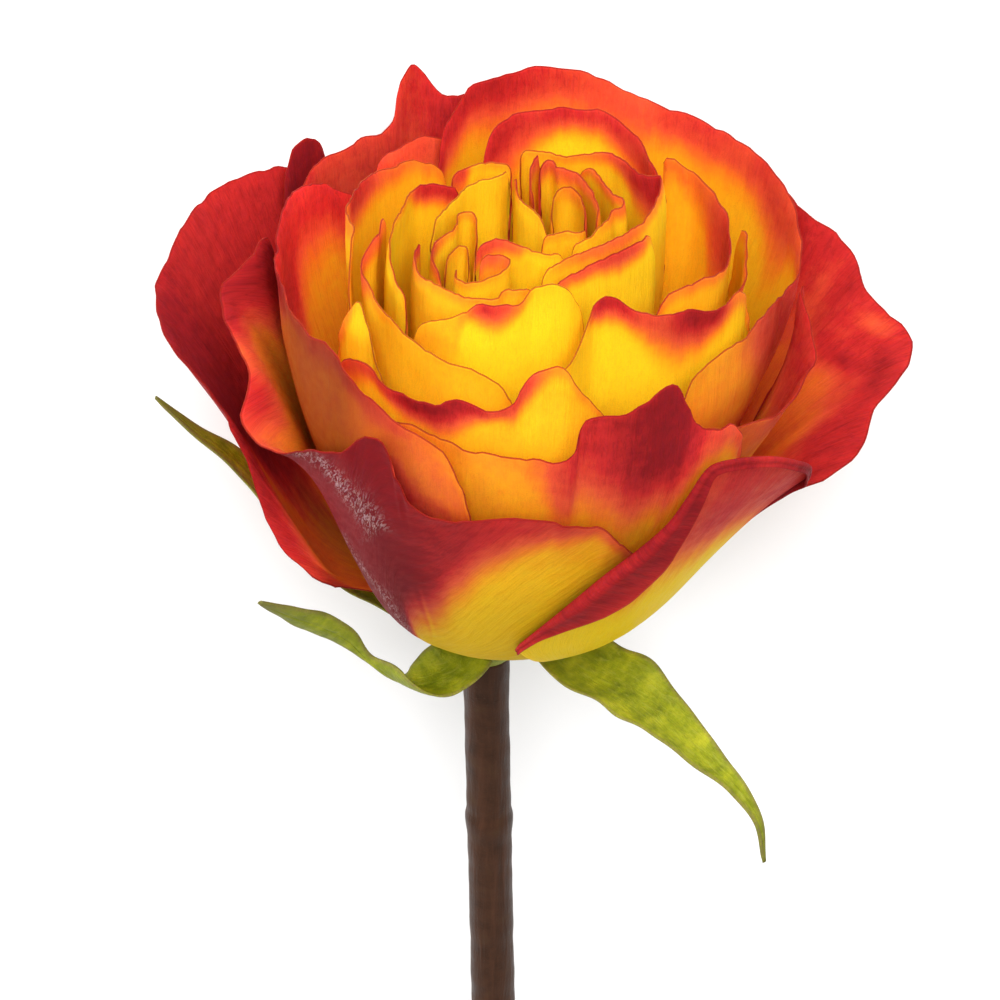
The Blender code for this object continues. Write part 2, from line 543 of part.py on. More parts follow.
def lathe(name, rows, sides, slot):
    """A closed solid of rings along the axis: rows are (radius, height, place across the bloom)."""
    mesh = bmesh.new()
    rings = []
    for radius, height, across in rows:
        ring = []
        for side in range(sides):
            angle = 2 * math.pi * side / sides
            ring.append(mesh.verts.new(Vector((across + radius * math.cos(angle), height,
                                               radius * math.sin(angle))) * MM))
        rings.append(ring)
    for lower, upper in zip(rings, rings[1:]):
        for side in range(sides):
            after = (side + 1) % sides
            mesh.faces.new((lower[side], lower[after], upper[after], upper[side]))
    mesh.faces.new(rings[0])
    mesh.faces.new(rings[-1])
    bmesh.ops.triangulate(mesh, faces=mesh.faces)
    bmesh.ops.recalc_face_normals(mesh, faces=mesh.faces)
    return add_object(name, mesh, slot)


def build_receptacle():
    """The dome passes just under the foot of every cup, and inside the outer ones."""
    dome = []
    for level in DOME_LEVELS:
        height = foot_height(level)
        inset = SEAT_INSET * level / CONE_LEVEL
        dome.append((cup_radius(level, height) - inset, height - SEAT_CLEARANCE, 0.0))
    lathe("receptacle", dome + list(CALYX), CALYX_SIDES, "sepal")


def build_stem():
    top = STEM[0][1]
    rows = [(radius, height, STEM_TOP_ACROSS + (top - height) * STEM_LEAN) for radius, height in STEM]
    lathe("stem", rows, STEM_SIDES, "stem")


clear_scene()
MATERIALS = {slot: make_material(slot) for slot in COLOURS}
FLOWER = bpy.data.objects.new("flower", None)
bpy.context.scene.collection.objects.link(FLOWER)
FLOWER.rotation_euler = (TILT, 0, 0)
FLOWER.location = BLOOM_BASE
build_petals()
build_sepals()
build_receptacle()
build_stem()
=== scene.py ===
"""The looks of a cut rose in full bloom, lying on a pale surface.

The shapes repeat the CAD's construction with smooth curves and many more points. The bloom is drawn in its
own frame, in millimetres: X to the right, Y along the bloom's axis from the stem to the heart, Z up from
the surface. Every petal belongs to one family of nested cups. A cup's level is its radius at its widest.
Azimuth runs anticlockwise as seen from above the heart: 0 is right, 90 the underside that lies on the
surface, 180 left and 270 the upper side.
"""

import math
import re

import bpy
import numpy as np
from mathutils import Matrix, Vector


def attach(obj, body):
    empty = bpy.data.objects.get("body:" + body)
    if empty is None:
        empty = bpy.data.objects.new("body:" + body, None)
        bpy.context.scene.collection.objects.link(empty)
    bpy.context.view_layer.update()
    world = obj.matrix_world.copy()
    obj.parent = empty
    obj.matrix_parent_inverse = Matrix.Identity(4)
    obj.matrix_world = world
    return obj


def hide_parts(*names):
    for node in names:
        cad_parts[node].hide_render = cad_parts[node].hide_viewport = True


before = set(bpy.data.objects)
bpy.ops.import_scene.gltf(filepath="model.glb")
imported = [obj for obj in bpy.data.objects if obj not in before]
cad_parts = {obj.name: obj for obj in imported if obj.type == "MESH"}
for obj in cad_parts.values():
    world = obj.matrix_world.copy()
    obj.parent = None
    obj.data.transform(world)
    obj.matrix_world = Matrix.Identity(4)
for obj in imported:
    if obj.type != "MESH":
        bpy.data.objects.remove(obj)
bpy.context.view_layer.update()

MM = 0.001

# How the flower lies: the tilt of its axis, and the place of the bloom's base.
TILT = math.radians(12.3)
BLOOM_BASE = (-0.00258, 0.03276, 0.03305)

# The family of cups: a foot ring on the receptacle, a round bowl, then a wall that closes a little.
FOOT_RADIUS = 0.3
FOOT_SPREAD = 0.2
CONE_HEIGHT = 6.5
CONE_LEVEL = 46.0
SWELL = ((0, 0), (4, 0.28), (10, 0.49), (20, 0.665), (32, 0.825), (46, 0.975), (52, 1.0), (61, 1.0),
         (70, 0.93))

# Petal sheets. A claw is the narrow foot of a petal. Rows lie closer together toward the rim.
CLAW_WIDTH = 0.5
CLAW_HEIGHT = 15.0
FLARE_POWER = 2
THICK = 0.34
THICK_AT_RIM = 0.2
RIM_TAPER_ROWS = 3.0
ROWS = 44
ROW_CROWDING = 1.35
COLUMN_STEP = 0.75
HEART_FINENESS = 1.6
FEWEST_COLUMNS = 48
MOST_COLUMNS = 150
POINTS_PER_SPAN = 24

# Waves, as a height and the length of one wave. A ripple adds up a few waves, each shorter than the last.
RIPPLE_OCTAVES = 4
LONGEST_WAVE = 1.6
WAVE_SHORTENING = 0.35
RIM_WAVE = (0.16, 6.0)
RIM_NICK = (0.07, 1.7)
HEART_WAVE = (0.096, 4.0)
HEART_NICK = (0.07, 1.3)
SURFACE_WAVE = (0.10, 7.0)
SURFACE_WAVE_REACH = 14.0
RIM_CURL = 0.42
HEART_CURL = 0.10
CURL_HEIGHT = 3.2
CURL_MEAN = 0.65
CURL_WAVE = (0.35, 9.0)

# The rolled flap of a rim.
ROLL_RADIUS = 0.9
ROLL_START = 0.15
ROLL_GROWTH = 0.2
ROLL_LIFT = 0.5
ROLL_SOFTENING = 12
ROUND_ROWS = 11
FLAP_ROWS = 12
ROWS_BELOW_ROLL = 4

# Sepals, receptacle and stem, as in the CAD. A sepal's waves run over a nominal length.
SEPAL_THICK = 0.5
SEPAL_THICK_AT_RIM = 0.25
SEPAL_ROWS = 90
SEPAL_COLUMNS = 25
SEPAL_LENGTH = 40
SEPAL_GRAIN_LENGTH = 55
BLADE_WAVE = (0.07, 11.0)
MARGIN_WAVE = (0.012, 9.0)
EDGE_DROP = 0.2
MIDDLE_RISE = 0.1
MIDRIB = -0.14
MIDRIB_BREADTH = 0.1
DOME_LEVELS = (0, 10, 20, 30, 38, 46)
SEAT_CLEARANCE = 0.45
SEAT_INSET = 0.75
CALYX = ((8.6, -1.4, -0.3), (7.0, -3.6, -0.9), (5.6, -6.0, -1.6), (4.4, -8.0, -2.2), (3.6, -9.2, -2.55))
CALYX_RINGS = 60
CALYX_SIDES = 96
CALYX_MARGIN = 4
CALYX_GRAIN = (6, 2)
STEM = ((3.4, -9.5), (3.2, -20), (3.2, -38), (3.5, -40), (3.2, -44), (3.2, -60), (3.25, -85), (3.3, -110),
        (3.3, -140))
STEM_TOP_ACROSS = -2.55
STEM_LEAN = 0.036
STEM_RINGS = 260
STEM_SIDES = 72
STEM_WAVE = (0.04, 9.0)
STEM_SEED = 71
STEM_GRAIN = (3, 1)
TIP_RADIUS = 0.5
TIP_RISE = 0.3
CUT_DISH = 0.4
CUT_BEVEL = 0.15
CUT_RING = 0.3
CUT_DEPTH = 0.6
CUT_SHARES = (0.9, 0.75, 0.5, 0.25, 0.06)

# Paint. Tones run from yellow, through orange and red, to maroon. A band of another tone runs along each
# face's rim and fades out below. Widths, depths and reaches are in millimetres.
TONES = ((0, (0.77, 0.49, 0.011)), (0.18, (0.75, 0.33, 0.01)), (0.36, (0.69, 0.168, 0.016)),
         (0.52, (0.57, 0.072, 0.028)), (0.68, (0.41, 0.021, 0.02)), (0.82, (0.2, 0.009, 0.012)),
         (1, (0.075, 0.008, 0.012)))
BAND_FADE = 0.77
BAND_WIDEST = 12
BAND_NARROWEST = 0.05
STREAK_WAVE = (0.035, 5.5)
STREAK_RUN = 100
INNER_GRAIN = (40, 0, 0)
SIDE_EDGE = 4
# How far around its path the painted sheen highlight reaches, in degrees of azimuth.
PAINTED_SHEEN_REACH = 3.1
# Brightness 1 everywhere: no painted light or shading.
EVEN = ((0, 1), (1, 1))

# Each skin's noises: stretch along the veins, scale, detail, roughness and distortion.
PETAL_NOISES = dict(streaks=(0.1, 0.9, 4, 0.6, 0.3), veins=(0.05, 2.6, 3, 0.6, 0.6),
                    mottle=(1, 0.55, 4, 0.6, 0), cells=(1, 5, 2, 0.5, 0),
                    threads=(0.14, 1.7, 3, 0.55, 1.2), crinkle=(0.45, 1.8, 5, 0.65, 1))
SEPAL_NOISES = dict(veins=(0.22, 1.5, 4, 0.6, 0.8), mottle=(1, 0.35, 4, 0.6, 0),
                    fine=(1, 4, 3, 0.6, 0))
STEM_NOISES = dict(streaks=(0.07, 1.1, 5, 0.6, 0.4), mottle=(1, 0.3, 5, 0.65, 0),
                   fine=(1, 3.5, 3, 0.6, 0))

# Petal skin. Four numbers spread one range over another. A bump has a strength and a depth in metres.
TONE_SHIFTS = (("streaks", 0.05), ("mottle", 0.18), ("veins", 0.06))
YELLOW_CALM = (0, 0.3, 0.35, 1)
# Painted light: the heart and inner petals are painted brighter, by this factor, from the first depth below the
# rim to the second, standing in for light that passes through them into the crevices.
PAINTED_GLOW_DEPTHS = (1, 9)
PAINTED_GLOW = 1.22
SPECKLE = (0.3, 0.75, 0.93, 1.04)
THREAD_WIDTH = (0, 0.05, 1, 0)
THREAD_SHARE = (0.45, 0.8, 0.1, 0.38)
THREAD_COLOUR = (0.1, 0.008, 0.008)
# The painted sheen: a pale highlight colour painted in crinkled threads along a streak on one guard. Where it
# lies, the roughness is also lower and the crinkles are embossed.
PAINTED_SHEEN_SHARE = 0.75
PAINTED_SHEEN_GRAIN = (0.47, 0.62)
SHEEN_SMOOTHING = 0.2
PAINTED_SHEEN_COLOUR = (0.5, 0.34, 0.34)
RIM_LINE = 0.8
RIM_START = 0.04
RIM_REACH = 0.2
GUARD_RIM_REACH = 0.34
RIM_COLOUR = (0.14, 0.008, 0.007)
PETAL_ROUGHNESS = (0.3, 0.7, 0.44, 0.58)
PETAL_BUMPS = (("veins", 0.22, 0.0003), ("streaks", 0.25, 0.0006), ("cells", 0.1, 0.0001),
               ("sheen", 0.8, 0.0008))
PETAL_SHADER = {"Subsurface Weight": 0.45, "Subsurface Radius": (1, 0.35, 0.08), "Subsurface Scale": 0.0016,
                "Specular IOR Level": 0.012}

# Sepal skin: a mottled ground, then the veins, the under face, the margins and the tip over it.
SEPAL_GROUND = ((0.3, (0.11, 0.135, 0.003)), (0.5, (0.21, 0.235, 0.005)), (0.72, (0.35, 0.35, 0.013)))
SEPAL_VEIN_SHARE = (0.5, 0.66, 0, 0.4)
SEPAL_VEIN_COLOUR = (0.3, 0.31, 0.035)
UNDER_SHARE = 0.15
UNDER_COLOUR = (0.25, 0.27, 0.06)
MARGIN_DEPTHS = (0.1, 0.7, 1, 0)
MARGIN_GRAIN = (0.4, 0.6, 0.2, 0.7)
MARGIN_COLOUR = (0.16, 0.1, 0.05)
LEAF_TIP_SHARE = (0.72, 1, 0, 0.8)
LEAF_TIP_GRAIN = (0.35, 0.6, 0.3, 1)
LEAF_TIP_COLOUR = (0.12, 0.11, 0.03)
SEPAL_ROUGHNESS = (0.3, 0.7, 0.42, 0.6)
SEPAL_BUMPS = (("veins", 0.5, 0.0005), ("fine", 0.3, 0.0002))
SEPAL_SHADER = {"Subsurface Weight": 0.12, "Subsurface Radius": (0.4, 1, 0.1), "Subsurface Scale": 0.001,
                "Specular IOR Level": 0.12}

# Stem skin, and the pith and rings of its cut end.
STEM_GROUND = ((0.3, (0.028, 0.012, 0.006)), (0.55, (0.044, 0.018, 0.009)), (0.75, (0.052, 0.026, 0.011)))
STEM_STREAK_SHARE = (0.45, 0.7, 0, 0.5)
STEM_STREAK_COLOUR = (0.07, 0.028, 0.015)
STEM_FLECK_SHARE = (0.62, 0.75, 0, 0.4)
STEM_FLECK_COLOUR = (0.085, 0.058, 0.042)
PITH = ((0, (0.62, 0.66, 0.36)), (0.45, (0.5, 0.6, 0.26)), (0.62, (0.25, 0.36, 0.1)),
        (0.8, (0.42, 0.5, 0.2)), (0.93, (0.12, 0.14, 0.05)))
STEM_ROUGHNESS = (0.3, 0.7, 0.36, 0.52)
STEM_BUMPS = (("streaks", 0.35, 0.0006), ("fine", 0.25, 0.0002))
STEM_SHADER = {"Specular IOR Level": 0.1}

# The camera, in the bloom's frame: its angle above the bloom's level plane, its roll, and in millimetres the
# middle of its view, its distance and the width it sees there.
VIEW_TILT = math.radians(38)
VIEW_ROLL = math.radians(1.5)
VIEW_MIDDLE = (-0.7, 13.9)
VIEW_DISTANCE = 650
VIEW_WIDTH = 139
SENSOR = 36

FLOOR_REACH = 6
FLOOR_DROP = -0.0002
FLOOR_SHADER = {"Base Color": (0.9, 0.9, 0.9, 1), "Roughness": 0.8}
WORLD_STRENGTH = 0.66

# Lamps: name, place, breadth and power. They look at the heart, placed in the bloom's frame.
LAMPS = (("key", (0.05, 0.6, 0.7), 0.7, 11.5), ("left", (-0.55, 0.15, 0.3), 0.35, 2))
LAMP_AIM = (0, 0.06, 0)


def read_pieces(text):
    """Reads blocks of a piece's name and its words, each with rows of numbers joined by commas."""
    pieces = {}
    for block in text.strip().split("\n\n"):
        name, *parts = re.split(r"\s+(\w+):", block)
        pieces[name] = {word: [[float(number) for number in row.split(",")] for row in rows.split()]
                        for word, rows in zip(parts[::2], parts[1::2])}
    return pieces


# The petals' words. A place is an azimuth, or on a heart petal the share of its rim.
#   level: azimuth, level.   rim: azimuth, height, or on a heart petal: across, toward the upper side, height.
#   flare: azimuth, how far the rim leans out, to flare_power.   roll: azimuth, breadth of the rolled flap.
#   outer, inner: share of the way down, tone of the face.   outer_band, inner_band: place, tone, half depth.
#   outer_spots, inner_spots: place, depth, reach around, reach down, tone.
#   shine: depth, azimuth, strength of a painted sheen highlight along a streak.
#   outer_shade, inner_shade: place, brightness, as painted light and shading on that face
#   and in places a duller colour.   foot_shade: share of the way down, brightness, as painted shading.
#   vein_lean: how far the veins move along the rim for each millimetre of depth.

# The guard petals, outermost.
GUARDS = read_pieces("""
guard_left
level: 128,44.4 150,43.6 180,41.6 213,40.6
flare: 128,0 138,1.5 150,4 165,4.2 180,5.8 187,5 193,3.8 197,2 201,.8 203,1.2 204,2 206,3.5 208,2.5 213,0
flare_power: 5
rim: 128,24 132,48 138,50.5 150,51 164,51.5 174,50.5 181,49.5 187,49 193,48 197,46 201,41 203,35 205,26 206,20
208,16 212,12
outer: 0,.72 .5,.55 1,.3
outer_band: 213,.8,20
inner: 0,.5 .3,.46 .45,.4 .7,.42 1,.25
inner_band: 128,.7,40 160,.71,40 170,.74,40 176,.81,38 184,.84,34 190,.84,26 196,.8,14 200,.78,10.5 204,.76,8
208,.62,6 213,.58,6
inner_shade: 172,1 180,1.2 190,1.2

guard_front_left
level: 166,31.8 183,32 198,32.4 212,33.9 228,37.4 243,39.4 262,40.2 300,39.6
flare: 168,.5 178,2 183,6.5 190,6 198,5.5 206,4.5 213,7.5 220,6 229,2.5 240,.8 302,.3
flare_power: 9
rim: 166,26 169,52 173,57.5 178,57 182,54 188,52.5 198,52 206,50.5 211,47.5 215,45.5 221,46 229,48.5 237,51
243,55 246,56 248,54 250,49.5 253,45.5 260,45 272,46 280,44.5 288,42 294,37 299,32 303,20
outer: 0,.3 .1,.24 .25,.14 .5,.06 1,.02
outer_band: 166,.86,60 216,.86,60 234,.86,54 241,.86,47 247,.84,38 252,.8,28 257,.77,19.5 262,.75,14.5
267,.71,10.5 272,.68,7.5 280,.64,4.2 288,.5,2.4 303,.45,2
inner: 0,.42 .12,.38 .22,.34 1,.34
inner_band: 166,.8,18 176,.79,13 183,.78,6 190,.75,3.6 197,.58,4 203,.5,6 209,.68,6.5 216,.52,3 240,.6,2
303,.5,2
shine: 0,227,.7 1,229,.9 5,234,1 9,237,1 14,240.5,1 17.5,242,.8 19.5,238,0 21,225,.4 25,226,.9 29,230,.5
32,235,.7 38,236,.5 42,237,.7 46,238,0
outer_shade: 236,1 244,.85 252,.88 260,1
inner_shade: 190,1.1 196,1.3 210,1.1
foot_shade: 0,1 .25,1 .38,.86 .6,.74 1,.7
vein_lean: .6

guard_front_right
level: 273,41.6 300,41.7 320,41 340,40.6
flare: 273,0 303,.5 310,2 318,4 328,6 332,6 334,4 336,1.5 337.5,0
flare_power: 3
roll: 273,.1 277,.5 281,1.6 285,3.3 290,5.2 295,4.8 299,3.2 303,1.8 307,.8 339,.5
rim: 273,14 277,18 284,25 291,32 297,37 301,41 304,46 307,50.5 312,50.5 318,49 324,46 329,42.5 332.5,38 334.5,33
336.2,27 337.5,21
outer: 0,.02 1,0
outer_band: 273,.02,2 292,.06,4 297,.4,13 302,.58,19 308,.62,23 314,.68,23 322,.64,19 330,.66,15 338,.7,12
inner: 0,.14 1,.2
inner_band: 273,.74,3 280,.77,5 286,.78,8 296,.79,9 304,.8,9 312,.8,9 318,.72,12 326,.84,10 338,.84,8

guard_right
level: -28,38.7 -10,39 10,40.2 30,42 46,43
flare: -19.6,0 -18.6,4 -17.5,9.5 -13,12.5 -7,12 -4,14 3,15 9,12 13,8.5 18,8 22,6 26,2.5 32,.5
flare_power: 3.5
rim: -28,12 -23,14 -19.6,22 -18.6,27 -17.5,32.5 -13,36 -7,39.5 -3,42.5 3,44 9,45 13,47 18,48.5 22,50.5 27,53
34,54 40,50 45,26
outer: 0,.6 .5,.3 1,.1
outer_band: 45,.7,14
inner: 0,.54 .3,.42 .5,.44 1,.45
inner_band: -28,.74,18 -12,.73,16 0,.71,11 10,.7,11 18,.7,11 28,.71,14 45,.7,10
inner_spots: 6.5,15,3,4,.4 -3,19,3,5,.4 20,8,1.6,5,.57 7.5,9.4,5,1.8,.76 1.5,4.5,4,1.6,.78 8.5,2.4,2.5,1.5,.52

guard_under_right
level: 38,40.8 75,41 112,40.5
flare: 46,0 54,5 62,9.45 69,4.5 76,1 100,0
flare_power: 3
rim: 38,25 42,38 49,44 62,45 75,42 90,41 104,37 111,18
outer: 0,.6 .5,.3 1,.1
outer_band: 111,.78,16
inner: 0,.5 1,.3
inner_band: 111,.68,14

guard_under_left
level: 80,43.2 110,43 128,42.4 148,42
flare: 92,0 105,.5 111,2.5 118,7.7 124,4 128,1 148,0
flare_power: 3
rim: 80,18 85,36 98,40 110,43.5 118,45 125,47 130,54 134,54.5 138,50 141,42 143,33 145,22
outer: 0,.6 .5,.3 1,.1
outer_band: 80,.82,20 148,.84,20
inner: 0,.7 1,.4
inner_band: 80,.72,14 125,.8,12 135,.84,12 148,.78,12
""")

# The broad petals inside the guards.
OUTER_PETALS = read_pieces("""
petal_back_left
level: 88,35 130,36 152,36.5
flare: 92,0 105,1.5 111,4 117,2 128,1 152,.5
rim: 88,24 93,50 100,60 106,59.5 109,62 112,64.5 115,61 118,56 129,55.5 138,54.5 144,48 150,26
outer: 0,.6 1,.2
outer_band: 152,.8,16
inner: 0,.62 1,.3
inner_band: 88,.72,12 102,.76,12 112,.66,10 130,.6,8 152,.72,10

petal_back_right
level: -54,33.4 -20,33.8 -5,34.8 5,35.9 14,36.6 28,37.2 45,36 90,31 113,28
flare: -54,0 -3,.3 5,1.8 28,2.8 45,3 90,2 100,1 113,.3
rim: -54,30 -50,54 -44,58 -26,58 -12,57 -3,55 5,54.5 12,55.5 21,57.5 30,59 39,60 52,61 64,62 73,65 83,66.5 93,66
102,65.5 106,63 110,59 112,54 116,34
outer: 0,.28 .2,.34 .35,.6 1,.6
outer_band: -54,.26,4 -36,.27,4 -27,.44,5 -18,.58,10 -8,.62,14 5,.64,14 116,.7,14
inner: 0,.2 .2,.12 .5,.1 1,.2
inner_band: -54,.3,1.5 -20,.3,2 0,.5,2.5 8,.5,2.6 16,.54,5 24,.57,10.5 32,.62,7 40,.58,5 48,.64,5.4 56,.62,4.6
64,.54,6.5 72,.55,8 80,.62,6.5 88,.68,6.5 96,.72,7.5 104,.72,6 116,.7,6

petal_left
level: 104,30.5 150,30.5 185,29.4 198,29.8 210,31.2 222,33.8 232,35.8 250,37.7 266,38.3
flare: 104,.5 150,.8 185,1.5 198,2.2 210,2.2 222,1.4 235,1 266,.5
rim: 103,30 106,53 110,57 119,57.5 126,55.5 131,50.5 137,53 146,57 156,59.5 170,61 185,61 200,62 211,62.5
222,62.5 232,63.5 238,61.5 243,59 249,57.5 255,56 259,53 262,47 265,28
outer: 0,.4 .1,.43 .3,.4 1,.33
outer_band: 103,.7,10 190,.74,7 203,.68,4.5 212,.52,3 232,.54,3 242,.6,2.8 248,.54,2.4 258,.36,2 265,.34,2
inner: 0,.24 .2,.22 .4,.26 1,.3
inner_band: 103,.55,7 120,.56,7 136,.69,7 146,.71,8 153,.69,9.5 160,.68,13 168,.72,22 182,.74,22 200,.7,16
216,.55,6 235,.55,3 265,.5,2
outer_spots: 247.5,9.5,2,3,.7 250,12.4,2,3,.72 253,13.6,2.5,2.6,.66 258,11.6,3.5,2,.54
outer_shade: 195,.5 219,.37 234,.37 241,.58 252,.85 262,1
inner_shade: 103,1 135,1.35 178,1.5 262,1.3

petal_right
level: -58,36 -30,36.4 -10,36.8 0,38.2
flare: -58,.5 -42,2 -24,4 -16,4 -11,2.8 -7,.5 0,0
flare_power: 3.5
rim: -58,28 -54,46 -49,52 -42,50.5 -32,49 -24,49 -17,50 -12,52.5 -9,56 -6,57.5 -2,52 1,28
outer: 0,.3 1,.15
outer_band: -58,.4,8 -36,.46,8 -24,.6,8 1,.7,10
inner: 0,.34 1,.4
inner_band: -58,.3,4 -44,.46,5 -34,.6,9 -24,.62,6 -16,.65,14 1,.68,15

petal_front
level: 230,34.2 250,35.3 262,36 285,37.2 322,38.3
flare: 230,.5 270,1 285,2 296,3 304,3 316,1.5 325,0
rim: 230,30 236,52 243,55.5 252,55.5 264,54 275,54 281,54 284,60.5 290,61 296,63 300,64 303,60 305,57 310,54
315,53 321,46 325,24
outer: 0,.26 .3,.22 1,.2
outer_band: 230,.42,1.5 262,.3,1.5 271,.31,3 276,.43,5.5 281,.66,11 288,.73,15 296,.82,20 300,.86,21 303,.84,16
306,.74,9 309,.62,5 325,.5,3
inner: 1,.3
inner_band: 230,.5,2 275,.6,3 288,.86,7 300,.88,8 325,.8,8
outer_shade: 296,1 302,1.2 306,1.5 312,1.5
""")

# The petals of the cup around the heart.
INNER_PETALS = read_pieces("""
petal_front_second
level: 222,31.6 240,32.6 250,33 300,33.4
flare: 222,.5 250,.8 262,1.5 276,1.5 300,.5
rim: 222,30 227,57 232,60 237,60.5 241,59 247,58 254,58.5 259,60 265,59 270,60 273,63.5 276,65 281,65 284,62
288,58.5 294,52 299,28
outer: 0,.14 .3,.1 1,.16
outer_band: 222,.55,4 234,.54,3 240,.58,1.8 246,.76,2.8 252,.82,3.6 258,.79,4.6 263,.7,2.4 267,.6,1.5 273,.6,3.2
279,.3,1.5 299,.22,1
inner: 0,.14 1,.25
inner_band: 222,.3,1 250,.5,2 299,.3,2

petal_front_third
level: 218,28.7 226,29.3 246,30.6
flare: 218,0 226,1 246,0
rim: 218,32 222,58 226,64 229,66.5 233,64 237,58 242,52 247,30
outer: 0,.05 1,.2
outer_band: 218,.3,1 224,.34,3 232,.1,1 247,.08,1
inner: 0,.1 1,.2
inner_band: 247,.12,1

petal_left_corner
level: 192,17 205,19.4 213,21.2 229,25.2 247,27.8 272,30.3
flare: 192,0 207,.5 212,2.3 218,1.5 229,.8 272,.5
rim: 192,60 198,67.5 203,66 208,67.5 212,65 219,64.5 229,64 240,63 248,62 257,61.5 266,60.5 271,56 275,34
outer: 0,.1 1,.25
outer_band: 192,.5,2 200,.62,4 208,.6,4.5 216,.5,3 225,.32,1.4 240,.2,1 275,.14,1
inner: 0,.1 .4,.14 1,.3
inner_band: 192,.3,2 203,.45,2.5 210,.5,2.5 218,.3,1 275,.18,.8

petal_left_second
level: 110,24.5 140,22.5 175,21.5 198,21.8 212,24.3 224,26.4
flare: 0,.5
rim: 108,30 114,56 122,59 136,61 152,62.5 168,64 184,65.5 198,66 208,64 217,58 224,34
outer: 0,.14 1,.2
outer_band: 108,.5,4 224,.3,2
inner: 0,.1 .3,.14 1,.25
inner_band: 108,.3,2 124,.36,2 138,.46,2.6 150,.62,3.6 162,.68,4.6 170,.66,4.6 178,.45,3 200,.25,2 224,.2,1.5

petal_front_right
level: 277,28.6 284,28.3 288,26.6 292,24.6 296,23.8 302,24.4 311,26.4 325,28.4 333,30.2 340,31.2 347,31.6
flare: 277,0 290,.3 347,.3
rim: 277,34 281,58 285,61.5 289,63 293,65 297,66.5 301,67 305,65.5 311,64 323,62.5 332,61.5 338,62 343,57 347,32
outer: 0,0 .3,.03 .5,.1 1,.2
outer_band: 277,.05,1 290,.05,1 294,.56,1.8 298,.76,3 304,.72,3 309,.56,4 314,.56,5.5 320,.72,6.5 325,.78,6
330,.76,4 336,.4,3 347,.3,2
inner: 0,.12 1,.25
inner_band: 277,.2,1 347,.4,2

petal_front_yellow
level: 238,24.4 250,24.6 262,24 272,23.2 285,22.2 298,20.6
flare: 238,0 262,.5 298,0
rim: 237,34 241,62 247,64 254,65.5 259,67.5 265,67 271,67 276,69 283,69 289,67 294,63 298,36
outer: 0,.01 .4,.05 1,.2
outer_band: 237,.18,10 252,.16,8 256,.34,1.5 261,.66,3 266,.6,3 272,.38,1.5 280,.06,1 298,.12,1
inner: 0,.1 1,.25
inner_band: 298,.2,1

petal_right_second
level: -46,23.8 -34,25.5 -27,26.4 -12,27.8 5,27.7 16,27.2 27,26.6 31,25.2 34,23.4
flare: 0,.3
rim: -46,36 -42,62 -36,64 -26,63.5 -15,62.5 -4,62 6,62 16,63 26,63.5 30,64.5 33,65.5 35,36
outer: 0,.1 1,.2
outer_band: -46,.3,1.5 -30,.36,1.4 35,.3,2
inner: 0,.16 .4,.1 1,.22
inner_band: -46,.66,5 -20,.72,9 -4,.7,13 8,.62,14 16,.52,13 23,.42,5 35,.36,3

petal_right_third
level: -22,29.4 -10,30 6,29.8 16,29.4
flare: 0,.3
rim: -23,34 -19,58 -13,60.5 -5,61 3,61.5 9,60 16,34
outer: 0,.1 1,.2
outer_band: 16,.5,2
inner: 0,.1 1,.2
inner_band: -23,.5,1.4 -10,.4,1.2 16,.36,1.6

petal_back_inner
level: 20,20.9 30,20.8 54,22.3 72,19.8 92,17.5 106,16
flare: 20,0 50,.8 90,1 106,0
rim: 19,40 23,63 29,66 40,67 52,68 60,69 70,69 82,69 93,68.5 101,67 105,62 109,38
outer: 1,.2
outer_band: 19,.5,4 109,.6,4
inner: 0,0 .4,.06 1,.2
inner_band: 19,.6,9 32,.62,9 44,.64,6.5 52,.66,5.4 60,.66,4.2 67,.66,3.4 74,.68,3.4 82,.64,5.5 90,.66,8 98,.7,10
109,.7,10
""")

